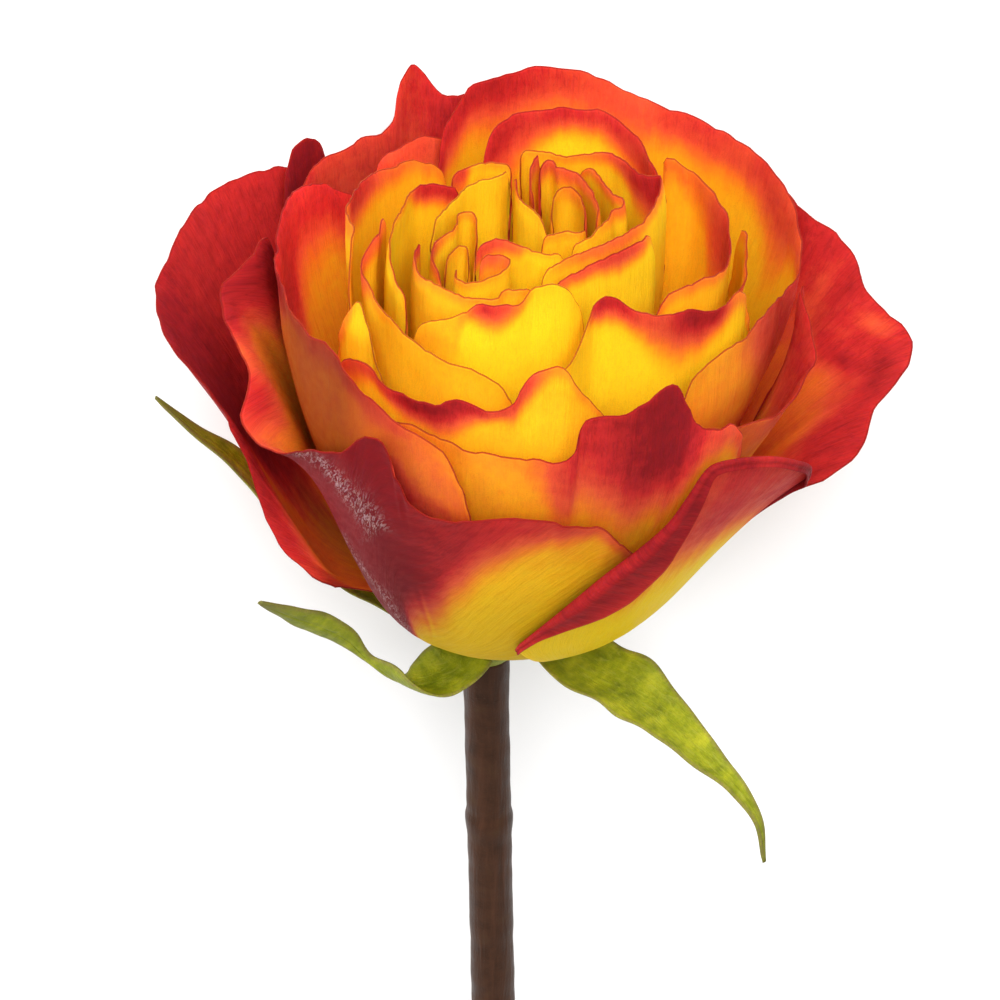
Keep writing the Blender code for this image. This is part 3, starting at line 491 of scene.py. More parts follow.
# The narrow petals of the two swirls of the heart.
HEART_PETALS = read_pieces("""
heart_ring_right
rim: .8,-11,58 .8,-12.4,66.3 3.8,-11.8,67 7.6,-11,67 11.2,-11.4,67.5 14.4,-9.2,67.5 17,-6.3,67.2 18.8,-5.6,67.8
18.8,-3,67.2 17,2.8,66.8 15.4,5.4,67 11,10,67.3 6.2,13,67 4,15.4,66.4 3.4,16.2,58
outer: 0,.03 .4,.1 1,.25
outer_band: 0,.2,1 .1,.22,1.4 .24,.3,1.2 .33,.56,2.4 .38,.68,5 .43,.74,7 .47,.72,6 .56,.5,2 .74,.3,1 1,.2,1
inner: 0,.06 .4,.1 1,.25
inner_band: 0,.3,1 .2,.3,1 .4,.55,1.4 .48,.4,1.2 .58,.34,1.2 .68,.46,2.2 .78,.4,1.6 .88,.14,1 1,.14,1

heart_wing_right
rim: 18.4,4.8,58 17.4,6,66.2 15.6,7.9,66.3 13.5,9.9,66.4 11,12.1,66.4 8.7,14,66.4 6.6,15.6,66 5.3,16.9,65.5
4.7,17.6,58
outer: 0,.04 .5,.1 1,.22
outer_band: 0,.6,3 .2,.64,4 .6,.5,2 .85,.3,1 1,.2,1
inner: 0,0 .4,.08 1,.25
inner_band: 0,.2,1 .22,.24,1 .34,.56,2 .44,.62,2.4 .54,.58,1.8 .7,.5,1.4 1,.3,1

heart_wing_middle
rim: -5,9.6,58 -4.6,8.8,66 -3.2,8.3,66.6 -1.9,8.7,67 -.6,9.3,67 .8,10.1,67 2.9,11,66.8 4.4,11,66.5 5.8,10.6,66.2
6.8,10,58
outer: 0,0 .5,.08 1,.22
outer_band: 0,.45,2 .14,.48,2.2 .24,.58,3 .36,.56,2.6 .49,.46,1.6 .57,.2,.8 1,.1,.8
inner: 0,.06 1,.25
inner_band: 0,.5,1.4 1,.3,1

heart_fold_middle
rim: -.2,-6.4,58 -.1,-6,66.5 0,-4.4,67 .2,-2.4,67 .6,-.6,66.8 1.6,.7,66.8 2.9,2,66.5 3.8,3.3,66 4.3,4.2,58
outer: 0,.04 .5,.14 1,.25
outer_band: 0,.5,3 .4,.4,1.4 .55,.15,1 1,.2,1
inner: 0,.04 .5,.12 1,.25
inner_band: 0,.64,5 .3,.62,5 .55,.4,2 .75,.14,1 1,.14,1

heart_curl
rim: 3,-10.4,58 2.8,-9.8,67.6 2.1,-7.8,67.8 1.8,-5.8,67.5 1.8,-4,66.8 2.3,-2.6,66 2.7,-1.9,58
outer: 0,.2 1,.3
outer_band: 0,.6,2 1,.4,2
inner: 0,.2 1,.3
inner_band: 0,.74,3 .3,.66,2.4 .5,.5,2 1,.45,2

heart_inner_right
rim: 3.4,-7.4,58 3.3,-8.3,67.3 4,-9,67.8 4.9,-8.5,67.8 5.4,-7.6,67.4 6.7,-7.4,67.3 8.2,-6.2,67.2 9.4,-4.4,67
10.3,-2.2,66.8 10.8,0,66.5 10.6,1.6,66 10.2,2.6,58
outer: 0,.08 .5,.16 1,.25
outer_band: 0,.5,2 .4,.5,2.4 1,.34,1
inner: 0,.1 .5,.18 1,.25
inner_band: 0,.66,4 .2,.6,3 .4,.45,1.6 .7,.4,1.4 1,.3,1.2

heart_fold_right
rim: 8.2,-9.3,58 8.6,-8.9,66 9.8,-7.4,67.4 10.9,-5.9,67.4 11.9,-3.9,67.2 12.9,-1.8,67.2 14,-.4,67.6 13.7,.6,67
12.7,.9,66.8 12.2,2.4,66.6 11,4.7,66.4 9.4,6.9,66.3 7.8,8,65.8 7,8.4,58
outer: 0,.04 .5,.12 1,.25
outer_band: 0,.3,1 .12,.34,1 .4,.46,1.6 .55,.4,1 .75,.2,.8 1,.2,.8
inner: 0,.06 .5,.14 1,.25
inner_band: 0,.4,2 .3,.3,1 .48,.5,1.6 .7,.2,1 1,.2,.8

heart_bud_right
rim: 5.1,-.8,58 4.8,-2.3,65 5.1,-4.3,65.5 6,-5.4,65.8 7.2,-5.4,65.8 8.2,-4.2,65.6 8.8,-2.4,65.4 9.1,-.7,65
9,.4,58
outer: 0,.08 .5,.16 1,.25
outer_band: 0,.2,1 .3,.14,1 .5,.35,2 .7,.3,1.4 1,.5,2
inner: 0,.12 .5,.2 1,.3
inner_band: 0,.3,1 .45,.3,1.5 .7,.5,4 1,.5,4

heart_lip_right
rim: 3.5,6.9,58 3.9,6.5,66 5.1,6,66.2 6.8,5.3,66.2 8,5.3,66 8.8,4,65.5 9,3.2,60
outer: 0,.08 1,.25
outer_band: 0,.6,2.4 .24,.34,1 .5,.25,1 1,.3,1
inner: 0,.14 1,.25
inner_band: 0,.5,2 1,.3,1

heart_spine
rim: -.8,-7,58 -1.3,-6.8,66.8 -2.4,-5.2,67.3 -3.7,-4.3,67.4 -5,-3.8,67.4 -6.3,-2.5,67.4 -7.6,-.4,67.3
-8.8,1.8,67.2 -9.8,3.8,67 -10.5,5.6,66.6 -10.9,6.6,58
outer: 0,.04 .5,.1 1,.22
outer_band: 0,.62,4 .12,.5,3 .25,.2,1 1,.1,.8
inner: 0,.02 1,.22
inner_band: 0,.6,3 .2,.24,1 .4,.08,.8 1,.1,.8

heart_back_left
rim: -8.8,-6.4,58 -8.4,-7,65.8 -7.8,-7.7,66.3 -6.5,-8.3,66.6 -5.1,-8.7,66.8 -3.8,-9.3,66.8 -2.2,-9.4,66.6
-1,-9.4,66 -.5,-9.2,58
outer: 0,.04 1,.18
outer_band: 0,.72,4 .28,.5,3 .4,.56,3.4 .47,.15,1 .6,.25,1 1,.2,1
inner: 0,.06 1,.2
inner_band: 0,.7,4 .3,.45,2 .5,.45,2 1,.5,3

petal_left_inner
rim: -7.4,-4.4,58 -8,-4.8,65.4 -9.3,-4.9,65.8 -11.3,-4.6,66.2 -12.9,-3.8,66.4 -13.7,-1.9,66.6 -14.4,.8,66.8
-15.2,4.1,67 -15.9,7.7,67 -16,10.8,66.8 -15.7,13.4,66 -15,15.8,65 -14,18,64.4 -13.4,18.9,58
outer: 0,.04 .5,.1 1,.25
outer_band: 0,.7,3.5 .14,.7,3.4 .22,.6,2.4 .34,.3,1 1,.2,1
inner: 0,0 .5,.1 1,.25
inner_band: 0,.7,3 .2,.71,2.8 .29,.68,2.8 .37,.3,1 .6,.2,1 .72,.4,1.5 .85,.56,2.4 1,.3,1

heart_cup_left
rim: -12.2,7.9,58 -12.3,9,66 -12.7,10.4,66.3 -12.7,12.4,66.2 -12.3,14.6,66 -11,16.7,66 -9.4,18.1,66 -7.5,19.5,66
-5.5,20.3,66 -3.6,20.4,66 -2,20.2,66 -1.3,19.2,66.3 .6,18.9,66.5 2,18.5,66 2.6,18.1,58
outer: 0,.14 .4,.18 1,.25
outer_band: 0,.66,3.5 .2,.58,2 .32,.4,1.4 .44,.28,1 .6,.3,1 1,.2,.8
inner: 0,.12 .5,.2 1,.3
inner_band: 0,.66,2.4 .25,.6,1.6 .4,.35,.8 1,.2,.8

heart_fold_left
rim: -5.2,5.9,58 -5,4.6,65 -5.1,2.8,66 -5.8,1.8,66.4 -6.7,1.8,66.5 -7.4,2.6,66.4 -7.4,4.2,66.2 -8,5.3,66
-9.1,6.7,66 -10,8,66 -10.5,9.4,65.8 -10.6,10.9,65.5 -10.3,12.4,65.2 -9.6,13.5,65 -8.8,14.1,58
outer: 0,.1 .5,.18 1,.3
outer_band: 0,.4,1.4 .14,.46,1.6 .3,.24,1 .7,.44,1.4 1,.4,1.4
inner: 0,.04 .5,.18 1,.3
inner_band: 0,.3,1 .3,.3,1.2 .5,.28,1 .65,.5,2.4 1,.5,2

heart_pocket
rim: -7.3,11.8,58 -7.5,13,65 -7.4,15,65.3 -6.5,16.1,65.4 -5.3,16.4,65.6 -4,16.2,65.8 -2.7,15.5,66 -1.5,14.5,66.2
-.8,13.2,66.3 -.7,12.1,66.3 -1.3,11.3,66.3 -2.4,11.1,66.2 -3.9,11.3,66 -4.7,11.8,58
outer: 0,.05 .5,.14 1,.25
outer_band: 0,.4,1 .3,.3,1 .6,.2,.8 1,.2,.8
inner: 0,.2 .5,.3 1,.3
inner_band: 0,.4,2 .5,.4,1.4 .75,.5,2 1,.5,1.4

heart_bud_left
rim: -8.6,11.4,58 -8.9,10.2,63.5 -8.7,8.8,64 -8.1,7.5,64.3 -7.2,6.7,64.5 -6.3,6.8,64.3 -6,7.6,63.8 -6,8.4,58
outer: 0,.08 .5,.16 1,.25
outer_band: 0,.3,1 .5,.2,1 1,.2,1
inner: 0,.12 .5,.2 1,.25
inner_band: 0,.35,1 .5,.2,1 1,.35,1
""")

# Sepals: azimuth, radius, height, half width and twist in degrees along the middle line.
SEPALS = read_pieces("""
sepal_right
places: 314,8.9,-2.5,3.6 320,15,-3.8,6 324,22,-5.5,5.6 325,28,-8,4.4 325,34,-11,3 325.5,39,-14,1.8
325.5,43,-18,.9 324.5,45,-24,.3

sepal_front_left
places: 240,9.1,-2.4,4.2,0 236,13,-4,4.6,0 226,18,-4.5,3.6,-15 212,21.5,-2,.9,-50 209,24.5,2,1.7,-70
209,28,5.5,2.1,-70 209,33,9.5,1.5,-60 210,38,14,.3,-60

sepal_left
places: 175,8.9,-2.2,4.4 175,14,-1,5.2 175,21,2,5.2 175,28,7.8,4.6 175.5,33,15,3.4 176,38,21.5,2.3
177,43.5,27,1.3 177.5,48,32,.3

sepal_under_left
places: 108,8.8,-2.2,4.4 108,14,-1,5.2 108,20.5,1.6,5 108,26.5,5,4.4 108,31.5,10,3.4 108,35,15.5,2.4
108,37.5,21,1.3 108,39.5,27,.3

sepal_under_right
places: 40,8.4,-2.2,4.4 40,14,-2,5.4 40,20.5,-1,5.2 40,26.5,1,4.4 39,32,3.5,3.4 38,37,6.5,2.4 37,41.5,8,1.3
36,45.5,7,.3
""")


def smooth(x):
    x = np.clip(x, 0.0, 1.0)
    return x * x * (3 - 2 * x)


def curve_through(table, x):
    """A smooth curve through a short table's rows that never overshoots them (monotone cubic)."""
    if len(table) == 1:
        return np.full(np.shape(x), table[0][1])
    knots, values = np.array([row[:2] for row in table], float).T
    steps = np.diff(knots)
    slopes = np.diff(values) / steps
    before, after = slopes[:-1], slopes[1:]
    same_way = before * after > 0
    middle = np.where(same_way, 2 * before * after / np.where(same_way, before + after, 1), 0)
    tangents = np.concatenate([slopes[:1], middle, slopes[-1:]])
    x = np.clip(x, knots[0], knots[-1])
    i = np.clip(np.searchsorted(knots, x, side="right") - 1, 0, len(slopes) - 1)
    s = (x - knots[i]) / steps[i]
    start = (1 + 2 * s) * (1 - s) ** 2 * values[i] + s * (1 - s) ** 2 * steps[i] * tangents[i]
    end = s * s * (3 - 2 * s) * values[i + 1] + s * s * (s - 1) * steps[i] * tangents[i + 1]
    return start + end


def distance_along(points):
    return np.concatenate([[0], np.cumsum(np.linalg.norm(np.diff(points, axis=0), axis=1))])


def between(t, first, last, start, end):
    return (end - t) / (end - start) * first + (t - start) / (end - start) * last


def spline_points(points, count):
    """Points evenly spaced along a smooth curve through the given points (centripetal Catmull-Rom)."""
    points = np.array(points, float)
    ends = np.vstack([2 * points[0] - points[1], points, 2 * points[-1] - points[-2]])
    fine = []
    for p0, p1, p2, p3 in zip(ends, ends[1:], ends[2:], ends[3:]):
        t1, t2, t3 = np.cumsum([max(np.linalg.norm(gap), 1e-6) ** 0.5 for gap in (p1 - p0, p2 - p1, p3 - p2)])
        t = np.linspace(t1, t2, POINTS_PER_SPAN, endpoint=False)[:, None]
        middle = between(t, p1, p2, t1, t2)
        early = between(t, between(t, p0, p1, 0, t1), middle, 0, t2)
        late = between(t, middle, between(t, p2, p3, t2, t3), t1, t3)
        fine.append(between(t, early, late, t1, t2))
    fine = np.vstack(fine + [points[-1:]])
    run = distance_along(fine)
    even = np.linspace(0, run[-1], count)
    return np.stack([np.interp(even, run, column) for column in fine.T], axis=1), run[-1]


def ripple(x, seed, wave):
    """A smooth, irregular wave along x."""
    height, size = wave
    random = np.random.default_rng(seed)
    total = np.zeros(np.shape(x))
    for octave in range(RIPPLE_OCTAVES):
        length = size * (LONGEST_WAVE - WAVE_SHORTENING * octave)
        total = total + np.sin(2 * math.pi * np.asarray(x) / length + random.uniform(0, 2 * math.pi)) / 2
    return height * total


def foot_height(level):
    return CONE_HEIGHT * (1 - level / CONE_LEVEL)


def cup_radius(level, height):
    foot = FOOT_RADIUS + FOOT_SPREAD * level
    return foot + (level - foot) * curve_through(SWELL, height)


def level_at(radius, height):
    """The level of the cup that passes through a radius at a height."""
    share = curve_through(SWELL, height)
    return (radius - FOOT_RADIUS * (1 - share)) / (FOOT_SPREAD * (1 - share) + share)


def bloom_points(azimuth, radius, height):
    angle = np.radians(azimuth)
    return np.stack([radius * np.cos(angle), height, -radius * np.sin(angle)], axis=-1)


def unit(vectors):
    return vectors / np.maximum(np.linalg.norm(vectors, axis=-1, keepdims=True), 1e-9)


def row_shares():
    """Shares of a column's height, closer together toward the rim."""
    return 1 - (1 - np.linspace(0, 1, ROWS)) ** ROW_CROWDING


def rim_columns(rim, fineness=1.0):
    """Points along a petal's rim, one for each column, and each one's distance along it."""
    _, length = spline_points(rim, FEWEST_COLUMNS)
    columns = int(np.clip(length / COLUMN_STEP * fineness, FEWEST_COLUMNS, MOST_COLUMNS))
    points, _ = spline_points(rim, columns)
    return points.T, np.linspace(0, length, columns)


def ring_petal_sheet(petal, seed):
    """Grid of points of a petal around the axis, with each column's azimuth and distance along the rim."""
    (first, _), (last, _) = petal["rim"][0], petal["rim"][-1]
    reach = math.pi / 180 * np.mean([level for _, level in petal["level"]])
    (along, height), travel = rim_columns([(azimuth * reach, height) for azimuth, height in petal["rim"]])
    azimuth = np.clip(along / reach, first, last)
    if "roll" not in petal:
        height = height + ripple(travel, seed, RIM_WAVE) + ripple(travel, seed + 1, RIM_NICK)
    middle = 0.5 * (first + last)
    foot = foot_height(curve_through(petal["level"], middle + (azimuth - middle) * CLAW_WIDTH))
    share = row_shares()[None, :]
    rows = foot[:, None] + (height - foot)[:, None] * share
    width = CLAW_WIDTH + (1 - CLAW_WIDTH) * smooth((rows - foot[:, None]) / CLAW_HEIGHT)
    here = middle + (azimuth[:, None] - middle) * width
    [[power]] = petal.get("flare_power", [[FLARE_POWER]])
    flare = curve_through(petal["flare"], azimuth)[:, None] * share ** power
    radius = cup_radius(curve_through(petal["level"], here), rows) + flare
    return bloom_points(here, radius, rows), azimuth, travel


def heart_petal_sheet(petal, seed):
    """The same of a heart petal, with each column's share of the rim."""
    (across, toward, height), travel = rim_columns(petal["rim"], HEART_FINENESS)
    height = height + ripple(travel, seed, HEART_WAVE) + ripple(travel, seed + 1, HEART_NICK)
    azimuth = np.degrees(np.unwrap(np.arctan2(-toward, across)))
    level = level_at(np.hypot(across, toward), height)
    foot = foot_height(level)
    rows = foot[:, None] + (height - foot)[:, None] * row_shares()[None, :]
    return bloom_points(azimuth[:, None], cup_radius(level[:, None], rows), rows), travel / travel[-1], travel


def grid_normals(grid):
    return unit(np.cross(np.gradient(grid, axis=0), np.gradient(grid, axis=1)))


def curl_rim(grid, travel, seed, curl):
    """The last few millimetres below the rim turn outward a little, more in some places than in others."""
    below = np.linalg.norm(grid - grid[:, -1:, :], axis=2)
    amount = curl * (CURL_MEAN + ripple(travel, seed + 2, CURL_WAVE))
    lift = amount[:, None] * np.clip(1 - below / CURL_HEIGHT, 0, 1) ** 2
    swing = ripple(travel, seed + 3, SURFACE_WAVE)[:, None] * smooth(1 - below / SURFACE_WAVE_REACH)
    return grid + grid_normals(grid) * (lift + swing)[:, :, None]


def softened(rows):
    """Rows of directions averaged with their neighbours."""
    for _ in range(ROLL_SOFTENING):
        padded = np.concatenate([rows[:1], rows, rows[-1:]])
        rows = 0.25 * padded[:-2] + 0.5 * padded[1:-1] + 0.25 * padded[2:]
    return unit(rows)


def roll_rim(grid, rolls):
    """The rim turns outward and back: a half round, then a flap that lies over the outer face."""
    rim = softened(np.gradient(grid[:, -1], axis=0))
    outward = softened(grid_normals(grid)[:, -ROWS_BELOW_ROLL])
    ahead = unit(np.cross(outward, rim))
    radius = np.clip(ROLL_START + ROLL_GROWTH * rolls, 0, ROLL_RADIUS)[:, None]
    extra = []
    for turn in np.linspace(0, math.pi, ROUND_ROWS + 1)[1:]:
        extra.append(grid[:, -1] + radius * (ahead * math.sin(turn) + outward * (1 - math.cos(turn))))
    over = extra[-1]
    for share in np.linspace(0, 1, FLAP_ROWS + 1)[1:]:
        extra.append(over - ahead * (rolls * share)[:, None] + outward * (ROLL_LIFT * share ** 2))
    return np.concatenate([grid, np.stack(extra, axis=1)], axis=1)


def new_mesh(name, points, faces):
    """A smoothly shaded mesh from points in millimetres."""
    mesh = bpy.data.meshes.new(name)
    mesh.from_pydata((points * MM).tolist(), [], faces)
    mesh.shade_smooth()
    return mesh


def thick_mesh(name, grid, thick, at_rim):
    """A closed thin solid from a grid of points: outer face, inner face and the edge between them."""
    wide, tall = grid.shape[:2]
    across_edge = np.minimum(np.arange(wide), np.arange(wide)[::-1])[:, None]
    inset = np.minimum(across_edge, (tall - 1 - np.arange(tall))[None, :])
    half = 0.5 * (at_rim + (thick - at_rim) * smooth(inset / RIM_TAPER_ROWS))
    offset = grid_normals(grid) * half[:, :, None]
    points = np.concatenate([(grid + offset).reshape(-1, 3), (grid - offset).reshape(-1, 3)])
    index = np.arange(wide * tall).reshape(wide, tall)
    front = np.stack([index[:-1, :-1], index[1:, :-1], index[1:, 1:], index[:-1, 1:]], axis=-1).reshape(-1, 4)
    loop = np.concatenate([index[:, 0], index[-1, 1:], index[-2::-1, -1], index[0, -2:0:-1]])
    after = np.roll(loop, -1)
    edge = np.stack([after, loop, loop + wide * tall, after + wide * tall], axis=-1)
    return new_mesh(name, points, np.concatenate([front, front[:, ::-1] + wide * tall, edge]).tolist())


def add_piece(name, mesh, slot, node, **attributes):
    """A piece of the flower, laid down with it, riding on the one body and standing for its CAD node.

    An attribute gives each point of its faces a number, or as grain a place in the skin's pattern.
    """
    for word, faces in attributes.items():
        kind, socket = ("FLOAT_VECTOR", "vector") if word == "grain" else ("FLOAT", "value")
        values = np.concatenate([np.ravel(face) for face in faces]).astype(np.float32)
        mesh.attributes.new(word, kind, "POINT").data.foreach_set(socket, values)
    mesh.materials.append(MATERIALS[slot])
    mesh.transform(LAID)
    piece = add_object(name, mesh)
    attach(piece, "root")
    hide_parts(node)


def add_object(name, data):
    thing = bpy.data.objects.new(name, data)
    bpy.context.scene.collection.objects.link(thing)
    return thing


def face_tones(petal, face, place, below, along):
    """Tones of one face of a petal: its ground, and the band of another tone along its rim."""
    bands = petal[face + "_band"]
    tone = curve_through(petal[face], np.clip(below / along, 0, 1))
    width = np.maximum(curve_through([(start, depth) for start, _, depth in bands], place), BAND_NARROWEST)
    fade = BAND_FADE * np.minimum(width, BAND_WIDEST)
    share = smooth(0.5 + (width - below) / (2 * fade))
    return tone + (curve_through(bands, place) - tone) * share


def petal_piece(name, grid, place, travel, seed, slot, petal):
    """The solid of a petal with its paint, laid out by place around it and depth below its rim."""
    mesh = thick_mesh(name, grid, THICK, THICK_AT_RIM)
    below = np.linalg.norm(grid - grid[:, ROWS - 1:ROWS], axis=2)
    flat = np.zeros_like(below)
    along = np.linalg.norm(grid[:, 0] - grid[:, ROWS - 1], axis=1)[:, None]
    breadth = np.linspace(0, STREAK_RUN, len(travel))[:, None] + flat
    place = place[:, None] + flat
    streaked = below * (1 + ripple(breadth, seed + 5, STREAK_WAVE))
    tones, painted_lights = [], []
    for face in ("outer", "inner"):
        tone = face_tones(petal, face, place, streaked, along)
        for around, depth, reach_around, reach_down, strength in petal.get(face + "_spots", ()):
            away = ((place - around) / reach_around) ** 2 + ((below - depth) / reach_down) ** 2
            tone = tone + (strength - tone) * np.exp(-away)
        tones.append(tone)
        # Painted light and shading: each face is made brighter or darker by place.
        painted_lights.append(curve_through(petal.get(face + "_shade", EVEN), place))
    # Painted shading: some outer faces are darker toward the foot.
    painted_lights[0] = painted_lights[0] * curve_through(petal.get("foot_shade", EVEN), np.clip(below / along, 0, 1))
    if "roll" in petal:
        tones[0][:, ROWS:] = tones[1][:, ROWS - 1:ROWS]
    [[lean]] = petal.get("vein_lean", [[0]])
    run = distance_along(grid[:, grid.shape[1] // 2])[:, None] + lean * below
    grain = np.stack([run, grid[:, :, 1], flat + seed], axis=-1)
    edge = np.minimum(below, np.minimum(travel, travel[-1] - travel)[:, None] * SIDE_EDGE)
    # The painted sheen highlight: strongest along its path, fading over the reach around it.
    gloss = flat
    if "shine" in petal:
        depth, middle, strength = np.array(petal["shine"]).T
        away = (place - np.interp(below, depth, middle)) / PAINTED_SHEEN_REACH
        gloss = np.interp(below, depth, strength) * np.exp(-away ** 2)
    add_piece(name + "_skin", mesh, slot, name, tone=tones, shade=painted_lights, edge=(edge, edge),
              gloss=(gloss, flat), grain=(grain, grain + INNER_GRAIN))


def build_petals(petals, slot, sheet, curl):
    MATERIALS[slot] = petal_material(slot)
    for name, petal in petals.items():
        seed = SEEDS[name]
        grid, place, travel = sheet(petal, seed)
        if "roll" in petal:
            grid = roll_rim(grid, curve_through(petal["roll"], place))
        else:
            grid = curl_rim(grid, travel, seed, curl)
        petal_piece(name, grid, place, travel, seed, slot, petal)


def sepal_grid(sepal, seed):
    """Grid of points of a sepal: a shallow gutter along its middle line, with a midrib and wavy margins."""
    azimuth, radius, height, half_width, *twists = np.array(sepal["places"]).T
    line, _ = spline_points(bloom_points(azimuth, radius, height), SEPAL_ROWS)
    share = np.linspace(0, 1, SEPAL_ROWS)
    knots = np.linspace(0, 1, len(azimuth))
    half = curve_through(list(zip(knots, half_width)), share)
    twist = np.radians(curve_through(list(zip(knots, twists[0] if twists else 0 * knots)), share))
    onward = unit(np.gradient(line, axis=0))
    angle = np.radians(np.interp(share, knots, azimuth))
    around = np.stack([-np.sin(angle), 0 * angle, -np.cos(angle)], axis=1)
    side = unit(around - onward * np.sum(around * onward, axis=1, keepdims=True))
    blade = side * np.cos(twist)[:, None] + np.cross(side, onward) * np.sin(twist)[:, None]
    gutter = np.cross(blade, onward)
    columns = []
    for s in np.linspace(-1, 1, SEPAL_COLUMNS):
        near = 1 if s > 0 else 2
        wave = half * s * s * ripple(share * SEPAL_LENGTH, seed + near, BLADE_WAVE)
        margin = half * (1 + ripple(share * SEPAL_LENGTH, seed + near + 2, MARGIN_WAVE))
        midrib = MIDRIB * math.exp(-(s / MIDRIB_BREADTH) ** 2)
        lift = half * (MIDDLE_RISE - (MIDDLE_RISE + EDGE_DROP) * s * s) + wave + midrib
        columns.append(line + blade * (margin * s)[:, None] + gutter * lift[:, None])
    return np.stack(columns), half


def build_sepals():
    for name, sepal in SEPALS.items():
        seed = SEEDS[name]
        grid, half = sepal_grid(sepal, seed)
        mesh = thick_mesh(name, grid, SEPAL_THICK, SEPAL_THICK_AT_RIM)
        s = np.linspace(-1, 1, SEPAL_COLUMNS)[:, None]
        edge = (1 - np.abs(s)) * half[None, :]
        flat = np.zeros_like(edge)
        share = np.linspace(0, 1, SEPAL_ROWS)[None, :] + flat
        grain = np.stack([s * half[None, :], share * SEPAL_GRAIN_LENGTH, flat + seed], axis=-1)
        add_piece(name + "_blade", mesh, "sepal", name, edge=(edge, edge), tone=(share, share),
                  under=(flat + 1, flat), grain=(grain, grain))


def lathe_mesh(name, rows, sides, grain_scale):
    """A closed solid of rings along the axis, its points and grain. Rows are radius, height, place across."""
    angle = np.linspace(0, 2 * math.pi, sides, endpoint=False)
    rings = []
    for radius, height, across in rows:
        rings.append(np.stack([across + radius * np.cos(angle), 0 * angle + height, radius * np.sin(angle)]))
    points = np.concatenate(rings, axis=1).T
    index = np.arange(len(points)).reshape(len(rows), sides)
    after = np.roll(index, -1, axis=1)
    faces = np.stack([index[:-1], index[1:], after[1:], after[:-1]], axis=-1).reshape(-1, 4).tolist()
    mesh = new_mesh(name, points, faces + [index[0].tolist(), index[-1][::-1].tolist()])
    around, along = np.arctan2(points[:, 2], points[:, 0]), points[:, 1]
    return mesh, points, np.stack([around * grain_scale[0], along * grain_scale[1], 0 * along], axis=1)


def build_receptacle():
    """The dome passes just under the foot of every cup, and inside the outer ones."""
    places = []
    for level in DOME_LEVELS:
        height = foot_height(level)
        radius = float(cup_radius(level, height)) - SEAT_INSET * level / CONE_LEVEL
        places.append((radius, height - SEAT_CLEARANCE, 0.0))
    rows, _ = spline_points(places + list(CALYX), CALYX_RINGS)
    mesh, points, grain = lathe_mesh("receptacle_skin", rows, CALYX_SIDES, CALYX_GRAIN)
    flat = np.zeros(len(points))
    add_piece("receptacle_skin", mesh, "sepal", "receptacle", edge=(flat + CALYX_MARGIN,), tone=(flat,),
              under=(flat + 1,), grain=(grain,))


def build_stem():
    top, foot = STEM[0][1], STEM[-1][1]
    heights = np.linspace(top, foot, STEM_RINGS)
    radii = curve_through([(-height, radius) for radius, height in STEM], -heights)
    radii = radii + ripple(heights, STEM_SEED, STEM_WAVE)
    across = STEM_TOP_ACROSS + (top - foot) * STEM_LEAN
    rows = [(TIP_RADIUS, top + TIP_RISE, STEM_TOP_ACROSS)]
    for radius, height in zip(radii, heights):
        rows.append((radius, height, STEM_TOP_ACROSS + (top - height) * STEM_LEAN))
    last = radii[-1]
    rows[-1] = (last - CUT_BEVEL, foot, across)
    for share in CUT_SHARES:
        rows.append((last * share, foot + CUT_DISH * (1 - share), across))
    mesh, points, grain = lathe_mesh("stem_skin", rows[::-1], STEM_SIDES, STEM_GRAIN)
    from_axis = np.hypot(points[:, 0] - across, points[:, 2])
    cut = (points[:, 1] < foot + CUT_DEPTH) & (from_axis < last - CUT_RING)
    add_piece("stem_skin", mesh, "stem", "stem", cut=(cut,), from_axis=(from_axis / last,), grain=(grain,))


